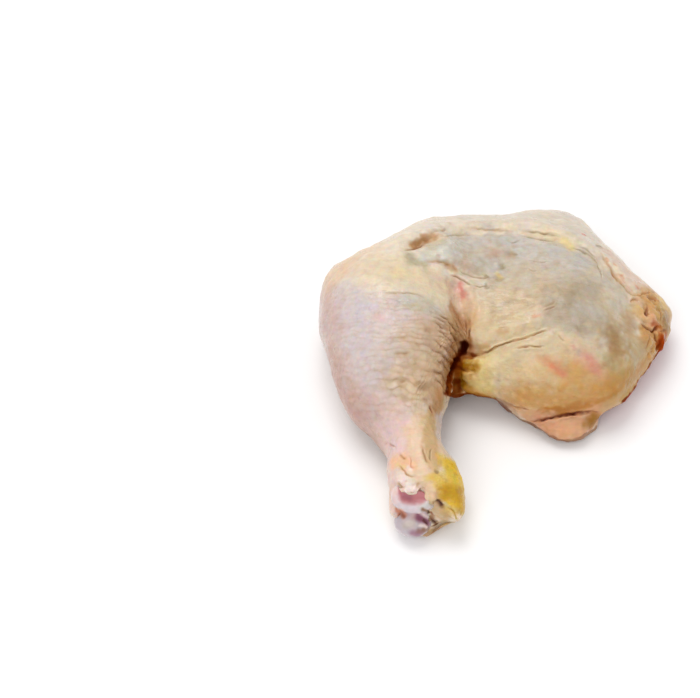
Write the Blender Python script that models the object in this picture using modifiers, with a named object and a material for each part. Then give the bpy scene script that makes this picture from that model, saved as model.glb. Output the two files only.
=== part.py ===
"""Raw chicken leg quarter lying skin side up: thigh and drumstick in one skin, with the shin bone.

+X runs from the knee to the hip, +Y from the hock to the back of the thigh, +Z up from the table.
The tables hold millimetres. The origin is on the table, under the middle of the leg.
"""

import math

import bmesh
import bpy
import numpy as np
from mathutils import Euler, Matrix, Vector, noise

MM = 0.001

# Fineness of the two solids.
SKIN_VOXEL = 1.3
RELIEF_VOXEL = 1.1
SKIN_TRIANGLES = 8200
BONE_VOXEL = 0.8
BONE_TRIANGLES = 1200
SECTION_COUNT = 90
RING_POINTS = 40

# The flesh is formed this far into the table, then pressed flat on it.
TABLE_SINK = 1.2
# Air between the bone and the flesh round it.
BONE_GAP = 0.4

# Sections across the thigh, from the knee to the hip end: place along X, near edge, far edge,
# where the crown lies, height of the crown, height of the widest line, height of the underside.
THIGH_SECTIONS = (
    (-72, 19, 30, 27, 24, 18, 11),
    (-69, 8, 36, 28, 33, 18, 7),
    (-62, 0, 41, 28, 40, 17, 3),
    (-52, -3, 48, 28, 44, 16, 0),
    (-38, -4, 60, 31, 45, 15, 0),
    (-24, -8, 72, 35, 42, 13, 0),
    (-8, -13, 76, 36, 38, 12, 0),
    (6, -20, 76, 33, 38, 12, 0),
    (18, -24, 80, 30, 38, 12, 0),
    (30, -25, 81.5, 28, 37, 12, 0),
    (39, -23.5, 77, 27, 35, 12, 0),
    (48, -20, 62, 26, 32, 12, 0),
    (58, -9, 47, 26, 27, 12, 0),
    (66, 7, 38, 26, 23, 12, 2),
    (71, 18, 33, 26, 19, 12, 5),
    (73, 23, 29, 26, 15, 12, 8),
)
# Sections across the drumstick, from the knee to the hock: place along Y, middle, half width,
# height of the top, height of the widest line, height of the underside.
DRUMSTICK_SECTIONS = (
    (44, -42, 10, 33, 21, 12),
    (38, -42, 20, 40, 21, 6),
    (26, -43, 28, 46, 21, 1),
    (12, -43, 29.5, 47, 21, 0),
    (-4, -42, 26, 45, 20, 0),
    (-16, -42, 23, 41, 19, 0),
    (-26, -41.5, 19, 36, 17, 1),
    (-36, -37.5, 13.5, 31, 15, 2),
    (-44, -34.5, 11, 29, 14, 2),
    (-54, -32, 13.5, 28, 13, 1),
    (-64, -30.5, 14.6, 26, 12, 1),
    (-72, -30.5, 14, 24, 12, 1),
    (-80, -33, 11, 21, 12, 2),
)

# The hock, where the foot was cut off: a face that looks out along the shank and up.
HOCK_CENTRE = Vector((-33, -71.7, 13))
HOCK_FACING = Vector((-0.05, -0.91, 0.42)).normalized()

# Egg-shaped forms fused to the two lofts: middle, half sizes, turn about X, Y and Z in degrees.
FLAP_FORMS = (
    ((6, -12, 6), (9, 6, 6), (0, 0, -35)),
    ((15, -20, 6), (11, 7, 6), (0, 0, -28)),
    ((27, -25, 5), (11, 7, 6), (0, 0, -4)),
    ((36, -23.5, 5), (7, 5, 5.5), (0, 0, 14)),
)
HIP_FAT_FORMS = (
    ((66, 30, 17), (6, 4, 4), (0, 20, 0)),
    ((69, 25, 15), (5, 4.5, 5), (0, 0, 0)),
    ((66, 21, 19), (4, 4, 4), (0, 0, 30)),
    ((68, 17, 14), (4, 5, 5), (0, 0, 0)),
    ((64, 15, 19), (4, 5, 3), (0, 25, 0)),
    ((65, 11, 13), (4, 4, 5), (0, 0, 20)),
    ((60, 7, 15), (4, 4, 4), (0, 10, 40)),
)
GROIN_FAT_FORMS = (
    ((-15, -5, 16), (4, 4, 5), (0, 0, 0)),
    ((-10, -7, 12), (5, 3, 5), (0, 0, 20)),
    ((-17, -9, 9), (4, 3.5, 5), (0, 0, 0)),
)
SHANK_SKIN_FORMS = (
    ((-20, -69, 12), (4, 7, 7), (12, 0, 0)),
    ((-36, -63, 23), (8, 4, 2.5), (30, 0, 0)),
)

# Creases in the skin, seen from above: points along the line, half width, depth, and how high the
# skin stands beside it, on the left of the line where that is positive.
CREASES = (
    (((-19, 27), (-16, 16), (-14, 4), (-16, -5), (-19, -14), (-22, -26)), 3, 3.8, 0.6),
    (((-17, -4), (-7, -6), (0, -5), (8, -2), (22, 1)), 2, 2.4, -1.4),
    (((-40, 32), (-35, 36), (-29, 40), (-22, 43)), 2.6, 1.8, 0.9),
    (((-27, 46), (-19, 50), (-5, 53), (12, 53), (28, 47), (37, 40), (47, 31), (54, 23)), 2.4, 1.8, 1.4),
    (((-24, 30), (-19, 28), (-13, 27), (-4, 30)), 2, 1.2, 0.6),
    (((6, -24), (16, -25), (24, -24), (33, -24), (42, -22)), 1.8, 2.0, 0),
    (((52, 24), (60, 27), (68, 31)), 1.8, 1.2, 0.8),
)
# Broad swells and hollows of the skin, seen from above: middle, radius, height.
SWELLS = (
    ((-20, 36), 7, 1.8),
    ((6, 36), 18, -1.8),
    ((24, 12), 17, 1.8),
    ((8, -12), 12, 1.2),
    ((55, 8), 8, -1.6),
    ((40, -8), 12, 1.0),
    ((10, 64), 12, 1.2),
    ((-45, 28), 16, 1.0),
)

# The cut edge at the lower hip side: the skin hangs over the bare meat, which lies further in.
CUT_EDGE_FROM = Vector((34, -30))
CUT_EDGE_TO = Vector((70, 46))
CUT_EDGE_HEIGHT = 9
CUT_EDGE_DEPTH = 3.2

# The bare inner side under the thigh, an oval that stands clear of the table inside its skin rim,
# and the seams between its muscles: points along each line, half width, depth.
INNER_SIDE_CENTRE = Vector((16, 26))
INNER_SIDE_RADII = Vector((44, 36))
INNER_SIDE_RISE = 2.4
MUSCLE_SEAMS = (
    (((-22, 40), (0, 44), (22, 40), (44, 30)), 2, 1.6),
    (((-26, 26), (-6, 28), (16, 26), (48, 20)), 1.7, 1.8),
    (((-20, 12), (0, 12), (20, 8), (40, 4)), 2, 1.5),
    (((10, 26), (18, 16), (30, 10), (46, 10)), 1.4, 1.2),
    (((-4, 44), (14, 52), (34, 52)), 1.6, 1.2),
)


def clear_scene():
    for obj in list(bpy.data.objects):
        bpy.data.objects.remove(obj, do_unlink=True)


def new_collection(name):
    collection = bpy.data.collections.new(name)
    bpy.context.scene.collection.children.link(collection)
    return collection


def new_object(name, bm, collection):
    mesh = bpy.data.meshes.new(name)
    bm.to_mesh(mesh)
    bm.free()
    obj = bpy.data.objects.new(name, mesh)
    collection.objects.link(obj)
    return obj


def skin_material(name, colour, roughness):
    material = bpy.data.materials.new(name)
    material.use_nodes = True
    shader = material.node_tree.nodes["Principled BSDF"]
    shader.inputs["Base Color"].default_value = (*colour, 1)
    shader.inputs["Roughness"].default_value = roughness
    shader.inputs["Metallic"].default_value = 0
    return material


def smooth_columns(table, places):
    """The table's columns read at places along its first column, on curves that never overshoot."""
    rows = np.array(sorted(table), float)
    at, values = rows[:, 0], rows[:, 1:]
    step = np.diff(at)[:, None]
    slope = np.diff(values, axis=0) / step
    tangent = np.zeros_like(values)
    same_way = slope[:-1] * slope[1:] > 0
    before, after = 2 * step[1:] + step[:-1], step[1:] + 2 * step[:-1]
    with np.errstate(divide="ignore", invalid="ignore"):
        mean = (before + after) / (before / slope[:-1] + after / slope[1:])
    tangent[1:-1] = np.where(same_way, mean, 0)
    tangent[0], tangent[-1] = slope[0], slope[-1]
    left = np.clip(np.searchsorted(at, places, side="right") - 1, 0, len(at) - 2)
    span = (at[left + 1] - at[left])[:, None]
    t = (np.asarray(places, float)[:, None] - at[left][:, None]) / span
    return (
        (2 * t**3 - 3 * t**2 + 1) * values[left]
        + (t**3 - 2 * t**2 + t) * span * tangent[left]
        + (3 * t**2 - 2 * t**3) * values[left + 1]
        + (t**3 - t**2) * span * tangent[left + 1]
    )


def blunt(value, power):
    """A sine or cosine made blunter: past 2 its oval turns towards a box."""
    return math.copysign(abs(value) ** (2 / power), value)


def ring_angles():
    for i in range(RING_POINTS):
        angle = 2 * math.pi * i / RING_POINTS
        yield math.cos(angle), math.sin(angle)


def thigh_ring(x, near, far, crown_at, crown, widest, under):
    """One section across the thigh: domed above its widest line, broad below it."""
    middle, half = (near + far) / 2, (far - near) / 2
    ring = []
    for across, up in ring_angles():
        y = middle + half * blunt(across, 2.3)
        if up > 0:
            rise = blunt(up, 2.1)
            z = widest + (crown - widest) * rise
            y += (crown_at - middle) * rise / 2
        else:
            z = widest + (widest - under + TABLE_SINK) * blunt(up, 2.2)
        ring.append((x, y, z))
    return ring


def drumstick_ring(y, middle, half_width, top, widest, under):
    ring = []
    for across, up in ring_angles():
        x = middle - half_width * blunt(across, 2.1)
        if up > 0:
            z = widest + (top - widest) * up
        else:
            z = widest + (widest - under + TABLE_SINK) * blunt(up, 2.1)
        ring.append((x, y, z))
    return ring


def loft(name, table, ring_of, collection):
    """A closed skin over sections read evenly along the table."""
    places = np.linspace(min(row[0] for row in table), max(row[0] for row in table), SECTION_COUNT)
    rows = smooth_columns(table, places)
    bm = bmesh.new()
    loops = [
        [bm.verts.new(Vector(point) * MM) for point in ring_of(place, *row)]
        for place, row in zip(places, rows)
    ]
    for a, b in zip(loops, loops[1:]):
        for i in range(RING_POINTS):
            j = (i + 1) % RING_POINTS
            bm.faces.new((a[i], a[j], b[j], b[i]))
    bm.faces.new(loops[0])
    bm.faces.new(loops[-1])
    bmesh.ops.recalc_face_normals(bm, faces=bm.faces)
    return new_object(name, bm, collection)


def egg(name, middle, half_sizes, turn, collection, segments=24):
    bm = bmesh.new()
    bmesh.ops.create_uvsphere(bm, u_segments=segments, v_segments=segments // 2, radius=1)
    angles = Euler([math.radians(a) for a in turn])
    placed = Matrix.LocRotScale(Vector(middle) * MM, angles, Vector(half_sizes) * MM)
    bmesh.ops.transform(bm, matrix=placed, verts=bm.verts)
    return new_object(name, bm, collection)


def cut_off(obj, point, facing):
    """Cuts off what lies beyond a plane and closes the cut."""
    bm = bmesh.new()
    bm.from_mesh(obj.data)
    geometry = bm.verts[:] + bm.edges[:] + bm.faces[:]
    cut = bmesh.ops.bisect_plane(
        bm, geom=geometry, plane_co=point * MM, plane_no=facing, clear_outer=True
    )
    rim = [item for item in cut["geom_cut"] if isinstance(item, bmesh.types.BMEdge)]
    bmesh.ops.contextual_create(bm, geom=rim)
    bmesh.ops.recalc_face_normals(bm, faces=bm.faces)
    bm.to_mesh(obj.data)
    bm.free()


def apply_modifiers(obj):
    bpy.context.view_layer.update()
    graph = bpy.context.evaluated_depsgraph_get()
    mesh = bpy.data.meshes.new_from_object(obj.evaluated_get(graph))
    obj.modifiers.clear()
    obj.data = mesh


def fuse(obj, forms, operation="UNION"):
    """Joins a collection of forms to obj, or cuts them from it, and removes them."""
    join = obj.modifiers.new("fuse", "BOOLEAN")
    join.operation = operation
    join.operand_type = "COLLECTION"
    join.collection = forms
    apply_modifiers(obj)
    for form in list(forms.objects):
        bpy.data.objects.remove(form, do_unlink=True)


def blend_skin(obj, voxel, smoothing):
    """One even skin over the joined forms, with their joints softened."""
    remesh = obj.modifiers.new("one skin", "REMESH")
    remesh.mode = "VOXEL"
    remesh.voxel_size = voxel * MM
    smooth = obj.modifiers.new("soften", "SMOOTH")
    smooth.factor = 0.5
    smooth.iterations = smoothing
    apply_modifiers(obj)


def thin_out(obj, triangles):
    """Fewer, larger triangles where the surface is plain."""
    obj.data.calc_loop_triangles()
    decimate = obj.modifiers.new("thin out", "DECIMATE")
    decimate.ratio = triangles / len(obj.data.loop_triangles)
    decimate.use_collapse_triangulate = True
    apply_modifiers(obj)


def points_of(mesh):
    points = np.empty(len(mesh.vertices) * 3, np.float32)
    mesh.vertices.foreach_get("co", points)
    return points.reshape(-1, 3).astype(float) / MM


def normals_of(mesh):
    normals = np.empty(len(mesh.vertices) * 3, np.float32)
    mesh.vertex_normals.foreach_get("vector", normals)
    return normals.reshape(-1, 3).astype(float)


def set_points(mesh, points):
    mesh.vertices.foreach_set("co", (points * MM).astype(np.float32).ravel())
    mesh.update()


def ease(value, low, high):
    """0 below low, 1 above high, and a smooth rise between."""
    t = np.clip((value - low) / (high - low), 0, 1)
    return t * t * (3 - 2 * t)


def line_distance(plan, line):
    """How far points lie from a line of points seen from above, on which side, and how far along it."""
    line = np.array(line, float)
    lengths = np.linalg.norm(np.diff(line, axis=0), axis=1)
    starts = np.concatenate([[0], np.cumsum(lengths)])
    best = np.full(len(plan), np.inf)
    signed, along = np.zeros(len(plan)), np.zeros(len(plan))
    for start, end, length, done in zip(line, line[1:], lengths, starts):
        way = (end - start) / length
        offset = plan - start
        run = np.clip(offset @ way, 0, length)
        distance = np.linalg.norm(offset - run[:, None] * way, axis=1)
        side = np.sign(way[0] * offset[:, 1] - way[1] * offset[:, 0])
        nearer = distance < best
        best[nearer] = distance[nearer]
        signed[nearer] = (distance * side)[nearer]
        along[nearer] = ((run + done) / starts[-1])[nearer]
    return best, signed, along


def crease_relief(plan, line, half_width, depth, shoulder):
    distance, signed, along = line_distance(plan, line)
    fade = ease(along, 0, 0.15) * ease(1 - along, 0, 0.15)
    beside = signed * math.copysign(1, shoulder) - 2 * half_width
    valley = depth * np.exp(-((distance / half_width) ** 2))
    bank = abs(shoulder) * np.exp(-((beside / (1.4 * half_width)) ** 2))
    return fade * (bank - valley)


def uneven(points, size, height):
    """Soft natural unevenness: lumps of this size and height."""
    return np.array([noise.noise(Vector(p) / size) for p in points]) * height


def shape_skin(obj):
    """Creases and swells of the upper side, the cut hip edge, and the bare inner side below."""
    points, normals = points_of(obj.data), normals_of(obj.data)
    plan = points[:, :2]
    upper = ease(normals[:, 2], -0.2, 0.3) * ease(points[:, 2], 4, 9)
    relief = uneven(points, 14, 0.9) + uneven(points, 6, 0.35)
    for line, half_width, depth, shoulder in CREASES:
        relief += upper * crease_relief(plan, line, half_width, depth, shoulder)
    for middle, radius, height in SWELLS:
        distance = np.linalg.norm(plan - middle, axis=1)
        relief += upper * height * np.exp(-((distance / radius) ** 2))
    points += normals * relief[:, None]

    way = np.array((CUT_EDGE_TO - CUT_EDGE_FROM).normalized())
    beyond = (plan - np.array(CUT_EDGE_FROM)) @ np.array((way[1], -way[0]))
    ragged = uneven(points, 5, 2.2)
    under_skin = 1 - ease(points[:, 2] + ragged, CUT_EDGE_HEIGHT - 1.5, CUT_EDGE_HEIGHT + 1.5)
    bare = ease(beyond, -2, 5) * under_skin * (1 - ease(-normals[:, 2], 0.5, 0.9))
    inward = CUT_EDGE_DEPTH + uneven(points, 4, 1.2)
    points[:, :2] -= (bare * inward)[:, None] * normals[:, :2]

    across = (plan - np.array(INNER_SIDE_CENTRE)) / np.array(INNER_SIDE_RADII)
    inside = ease(1 - np.linalg.norm(across, axis=1), 0.05, 0.25) * ease(-normals[:, 2], 0.4, 0.9)
    rise = INNER_SIDE_RISE + uneven(points, 9, 1.2)
    for line, half_width, depth in MUSCLE_SEAMS:
        rise -= crease_relief(plan, line, half_width, depth, 0)
    points[:, 2] += inside * rise
    set_points(obj.data, points)


def press_flat(obj):
    """Flesh that would sink into the table is flattened on it."""
    points = points_of(obj.data)
    points[points[:, 2] < 0.35, 2] = 0
    set_points(obj.data, points)


def keep_largest_piece(obj):
    """Drops loose scraps, such as slivers that a cut leaves."""
    bm = bmesh.new()
    bm.from_mesh(obj.data)
    left = set(bm.verts)
    pieces = []
    while left:
        piece, edge = set(), [left.pop()]
        while edge:
            vertex = edge.pop()
            piece.add(vertex)
            for link in vertex.link_edges:
                other = link.other_vert(vertex)
                if other in left:
                    left.discard(other)
                    edge.append(other)
        pieces.append(piece)
    pieces.sort(key=len)
    for scrap in pieces[:-1]:
        bmesh.ops.delete(bm, geom=list(scrap), context="VERTS")
    bm.to_mesh(obj.data)
    bm.free()


def build_flesh(parts, forms):
    flesh = loft("leg_quarter", THIGH_SECTIONS, thigh_ring, parts)
    drumstick = loft("drumstick", DRUMSTICK_SECTIONS, drumstick_ring, forms)
    cut_off(drumstick, HOCK_CENTRE, HOCK_FACING)
    lumps = FLAP_FORMS + HIP_FAT_FORMS + GROIN_FAT_FORMS + SHANK_SKIN_FORMS
    for number, (middle, half_sizes, turn) in enumerate(lumps):
        egg(f"lump_{number}", middle, half_sizes, turn, forms)
    fuse(flesh, forms)
    blend_skin(flesh, SKIN_VOXEL, 4)
    shape_skin(flesh)
    blend_skin(flesh, RELIEF_VOXEL, 2)
    thin_out(flesh, SKIN_TRIANGLES)
    press_flat(flesh)
    return flesh


def hock_place(across, up, out):
    """A point on the bone's cut end: across it, up its slope and out of it, in millimetres."""
    rise = (Vector((0, 0, 1)) - HOCK_FACING * HOCK_FACING.z).normalized()
    side = rise.cross(HOCK_FACING)
    return HOCK_CENTRE + side * across + rise * up + HOCK_FACING * out


def hock_egg(name, place, half_sizes, collection):
    rise = (Vector((0, 0, 1)) - HOCK_FACING * HOCK_FACING.z).normalized()
    side = rise.cross(HOCK_FACING)
    turned = Matrix((side, rise, HOCK_FACING)).transposed()
    angles = [math.degrees(a) for a in turned.to_euler()]
    return egg(name, hock_place(*place), half_sizes, angles, collection)


def build_bone(parts, forms, cutters):
    """The shin bone: a knuckle with two rounded ends and a hollow between, on a long tapered shaft."""
    bone = hock_egg("shin_bone", (-2.6, 4.5, -2.5), (9, 6.6, 6), parts)
    hock_egg("lower_knuckle", (-2.8, -6, -2.5), (7.4, 6, 6.5), forms)
    hock_egg("neck", (-1, 0, -8), (6, 7, 9), forms)
    shaft = ((-34, -58, 17), (-36, -40, 16), (-39, -15, 19), (-42, 10, 22), (-43, 28, 24))
    widths = (6, 4.2, 4, 4.6, 7)
    curve = bpy.data.curves.new("shaft", "CURVE")
    curve.dimensions = "3D"
    curve.bevel_depth = MM
    curve.bevel_resolution = 3
    curve.use_fill_caps = True
    spline = curve.splines.new("BEZIER")
    spline.bezier_points.add(len(shaft) - 1)
    for point, place, width in zip(spline.bezier_points, shaft, widths):
        point.co = Vector(place) * MM
        point.radius = width
        point.handle_left_type = point.handle_right_type = "AUTO"
    rod = bpy.data.objects.new("shaft_curve", curve)
    parts.objects.link(rod)
    bpy.context.view_layer.update()
    graph = bpy.context.evaluated_depsgraph_get()
    bm = bmesh.new()
    bm.from_mesh(bpy.data.meshes.new_from_object(rod.evaluated_get(graph)))
    bmesh.ops.remove_doubles(bm, verts=bm.verts, dist=MM / 100)
    bmesh.ops.recalc_face_normals(bm, faces=bm.faces)
    new_object("shaft", bm, forms)
    bpy.data.objects.remove(rod, do_unlink=True)
    fuse(bone, forms)
    hock_egg("cup", (-2.4, 6.5, 4), (6.4, 4.4, 3.6), cutters)
    hock_egg("hollow", (1.2, -5, 4), (3, 1.8, 2.4), cutters)
    fuse(bone, cutters, "DIFFERENCE")
    blend_skin(bone, BONE_VOXEL, 3)
    thin_out(bone, BONE_TRIANGLES)
    return bone


def bed_bone(flesh, bone, cutters):
    """Hollows the flesh for the bone, with a hair of air round it."""
    bed = bpy.data.objects.new("bone_bed", bone.data.copy())
    cutters.objects.link(bed)
    points, normals = points_of(bed.data), normals_of(bed.data)
    set_points(bed.data, points + normals * BONE_GAP)
    fuse(flesh, cutters, "DIFFERENCE")
    keep_largest_piece(flesh)


def centre_on_origin(objects):
    """Moves the shapes together until the middle of their footprint is over the origin."""
    points = [points_of(obj.data) for obj in objects]
    lowest = np.min([p.min(axis=0) for p in points], axis=0)
    highest = np.max([p.max(axis=0) for p in points], axis=0)
    shift = -(lowest + highest) / 2
    shift[2] = 0
    for obj, own_points in zip(objects, points):
        set_points(obj.data, own_points + shift)


def main():
    clear_scene()
    parts = new_collection("chicken leg quarter")
    forms = new_collection("forms to join")
    cutters = new_collection("forms to cut away")
    flesh = build_flesh(parts, forms)
    bone = build_bone(parts, forms, cutters)
    bed_bone(flesh, bone, cutters)
    centre_on_origin((flesh, bone))
    flesh.data.materials.clear()
    flesh.data.materials.append(skin_material("raw chicken skin", (0.80, 0.66, 0.55), 0.42))
    bone.data.materials.clear()
    bone.data.materials.append(skin_material("joint cartilage", (0.78, 0.70, 0.76), 0.32))


main()
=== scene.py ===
"""Raw chicken leg quarter: skin with folds, follicle bumps, fat and cut edges, and the cut hock.

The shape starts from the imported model. Folds, bumps and colour fields are laid on it along lines that
are given where the photograph's camera sees them, and each is traced on to the surface first.
"""

import math
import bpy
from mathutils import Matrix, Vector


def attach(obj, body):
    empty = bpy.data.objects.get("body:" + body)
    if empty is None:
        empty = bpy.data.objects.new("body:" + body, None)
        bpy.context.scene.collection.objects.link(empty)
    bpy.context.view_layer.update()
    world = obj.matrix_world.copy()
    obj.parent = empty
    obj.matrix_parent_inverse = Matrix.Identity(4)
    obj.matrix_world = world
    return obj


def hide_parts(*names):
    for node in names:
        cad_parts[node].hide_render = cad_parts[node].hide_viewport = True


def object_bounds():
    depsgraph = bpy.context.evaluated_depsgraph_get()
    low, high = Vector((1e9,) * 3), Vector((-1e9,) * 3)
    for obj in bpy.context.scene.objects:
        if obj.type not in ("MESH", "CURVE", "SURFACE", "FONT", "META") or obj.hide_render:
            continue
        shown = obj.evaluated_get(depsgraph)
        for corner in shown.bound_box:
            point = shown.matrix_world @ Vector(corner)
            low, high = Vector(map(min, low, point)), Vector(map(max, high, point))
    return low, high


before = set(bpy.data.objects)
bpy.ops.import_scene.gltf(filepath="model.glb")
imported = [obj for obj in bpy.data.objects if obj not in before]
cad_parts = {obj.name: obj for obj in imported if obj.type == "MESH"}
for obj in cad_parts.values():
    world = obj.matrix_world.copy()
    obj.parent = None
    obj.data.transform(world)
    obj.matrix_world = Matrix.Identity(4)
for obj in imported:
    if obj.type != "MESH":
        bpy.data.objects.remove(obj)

from types import SimpleNamespace

import bmesh
import bpy
import numpy as np
from bpy.props import FloatProperty, FloatVectorProperty, IntProperty, PointerProperty
from mathutils import Matrix, Vector, noise
from mathutils.bvhtree import BVHTree

bl_info = {
    "name": "Raw Chicken Leg Quarter",
    "version": (1, 0, 0),
    "blender": (4, 5, 0),
    "location": "3D View > Sidebar > Leg Quarter",
    "description": "Builds a raw chicken leg quarter with its skin, fat and cut hock",
    "category": "Add Mesh",
}

CAD_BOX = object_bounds()
MM = 0.001
# The tints are laid over one another as the eye mixes them, in this gamma.
GAMMA = 2.2
# The stage is lit this much over full white, as the photograph is. The tints, which are the
# photograph's, are stored that much darker.
OVER_WHITE = 1.15

# The photograph's camera, in millimetres and degrees, and the photograph's size in pixels.
IMAGE_WIDTH = 700
IMAGE_HEIGHT = 698
VIEW_TARGET = Vector((-60.08, 17.34, 0))
VIEW_ELEVATION = 50
VIEW_DISTANCE = 700
PIXELS_PER_MM = 2.4
SENSOR = 36

# The stage: half the floor's side in metres and its white, the light of the room, and the soft boxes
# with their place and side in metres and their power in watts.
FLOOR_HALF = 4.0
FLOOR_WHITE = "#F7F6F6"
ROOM_LIGHT = 0.66
SOFT_BOXES = (
    ("soft box above", (-0.5, 0.9, 2.4), 1.5, 23.0),
    ("soft box in front", (-1.1, -1.9, 1.9), 1.4, 15.0),
)

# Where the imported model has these, in millimetres: the way out of the cut hock, the line that the hock
# lies in front of, the cut hip edge and how far up the meat is bare there, and the bare inner side.
HOCK_FACING = Vector((-0.05, -0.91, 0.42)).normalized()
HOCK_FROM = -50
CUT_EDGE_FROM = (33.5, -31.65)
CUT_EDGE_TO = (69.5, 44.35)
CUT_EDGE_HEIGHT = 12.5
INNER_SIDE_CENTRE = (15.5, 24.35)
INNER_SIDE_RADII = (44, 36)

# The bone's bed is filled with a fuller copy of the bone, sunk behind it. The flesh within reach of the
# bone is drawn against it, fully where it is near, and stands this far off it. All in millimetres.
BED_FULLER = 0.7
BED_SUNK = 2.6
HUG_REACH = 2.4
HUG_NEAR = 0.9
HUG_GAP = 0.35

# In half widths of a fold: how far from its line its banks stand, their width and that of its tint.
BANK_AT = 2.4
BANK_WIDTH = 1.4
FOLD_TINT_WIDTH = 1.15

# Between which places along the leg, in millimetres, these set in: the drumstick's thin skin, its
# follicle bumps, the bare cut side, the thigh's dark muscle and the shade of the front.
THIN_SKIN_FROM = (-60, -30)
DRUMSTICK_FROM = (-52, -36)
CUT_SIDE_FROM = (-26, -18)
MUSCLE_FROM = (-45, -25)
FRONT_FROM = (-62, -52)

# Soft noises: the size of their lumps in millimetres and their seed, so that each run gives the same.
NOISES = {
    "uneven": (5, 3),
    "crook": (2.2, 4),
    "small": (1.6, 5),
    "middling": (3.6, 6),
    "rough_fat": (2.6, 8),
    "fibres": (1.4, 12),
    "bundles": (4.5, 13),
    "membrane": (9, 14),
    "tone": (7, 15),
    "row_sway": (9, 21),
    "row_jitter": (4, 22),
    "run_jitter": (4.5, 23),
    "ridge": (4, 24),
    "bump_strength": (7, 25),
    "wrinkles": ((3.0, 1.1, 1.1), 36),
    "bone_uneven": (3, 3),
    "bone_crook": (1.6, 4),
}

# How high each kind of relief stands, in millimetres.
RELIEF = {
    "small": 0.05,
    "middling": 0.14,
    "wrinkles": 0.11,
    "rough_fat": 0.4,
    "fat_grain": 0.12,
    "scales": 0.08,
    "plucked": 0.26,
    "fibres": 0.22,
    "bundles": 0.35,
    "bone": 0.2,
}

# Spacing of the scales and of the bumps that plucked feathers leave, in millimetres, with their seeds.
SCALE_SPACING, SCALE_SEED = 0.9, 11
PLUCKED_SPACING, PLUCKED_SEED = 3.6, 16
# The smallest share of a mask that counts as covered, and how many points are measured at a time.
COVERED = 0.02
CHUNK = 3000
# Two distances this close count as the same.
SAME = 1e-9
# Blender's noise is stretched by this to reach from about -1 to 1.
NOISE_REACH = 1.6
# How much of its own value a point keeps each time that it is averaged with its neighbours.
OWN_SHARE = 0.3
# How many rounds of that tell a fine hollow, and how many a deep one.
FINE_ROUNDS = 6
DEEP_ROUNDS = 24


def linear(hex_colour):
    """The linear colour of an sRGB hex value."""
    channels = [int(hex_colour[i:i + 2], 16) / 255 for i in (1, 3, 5)]
    return tuple(c / 12.92 if c <= 0.04045 else ((c + 0.055) / 1.055) ** 2.4 for c in channels)


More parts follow.
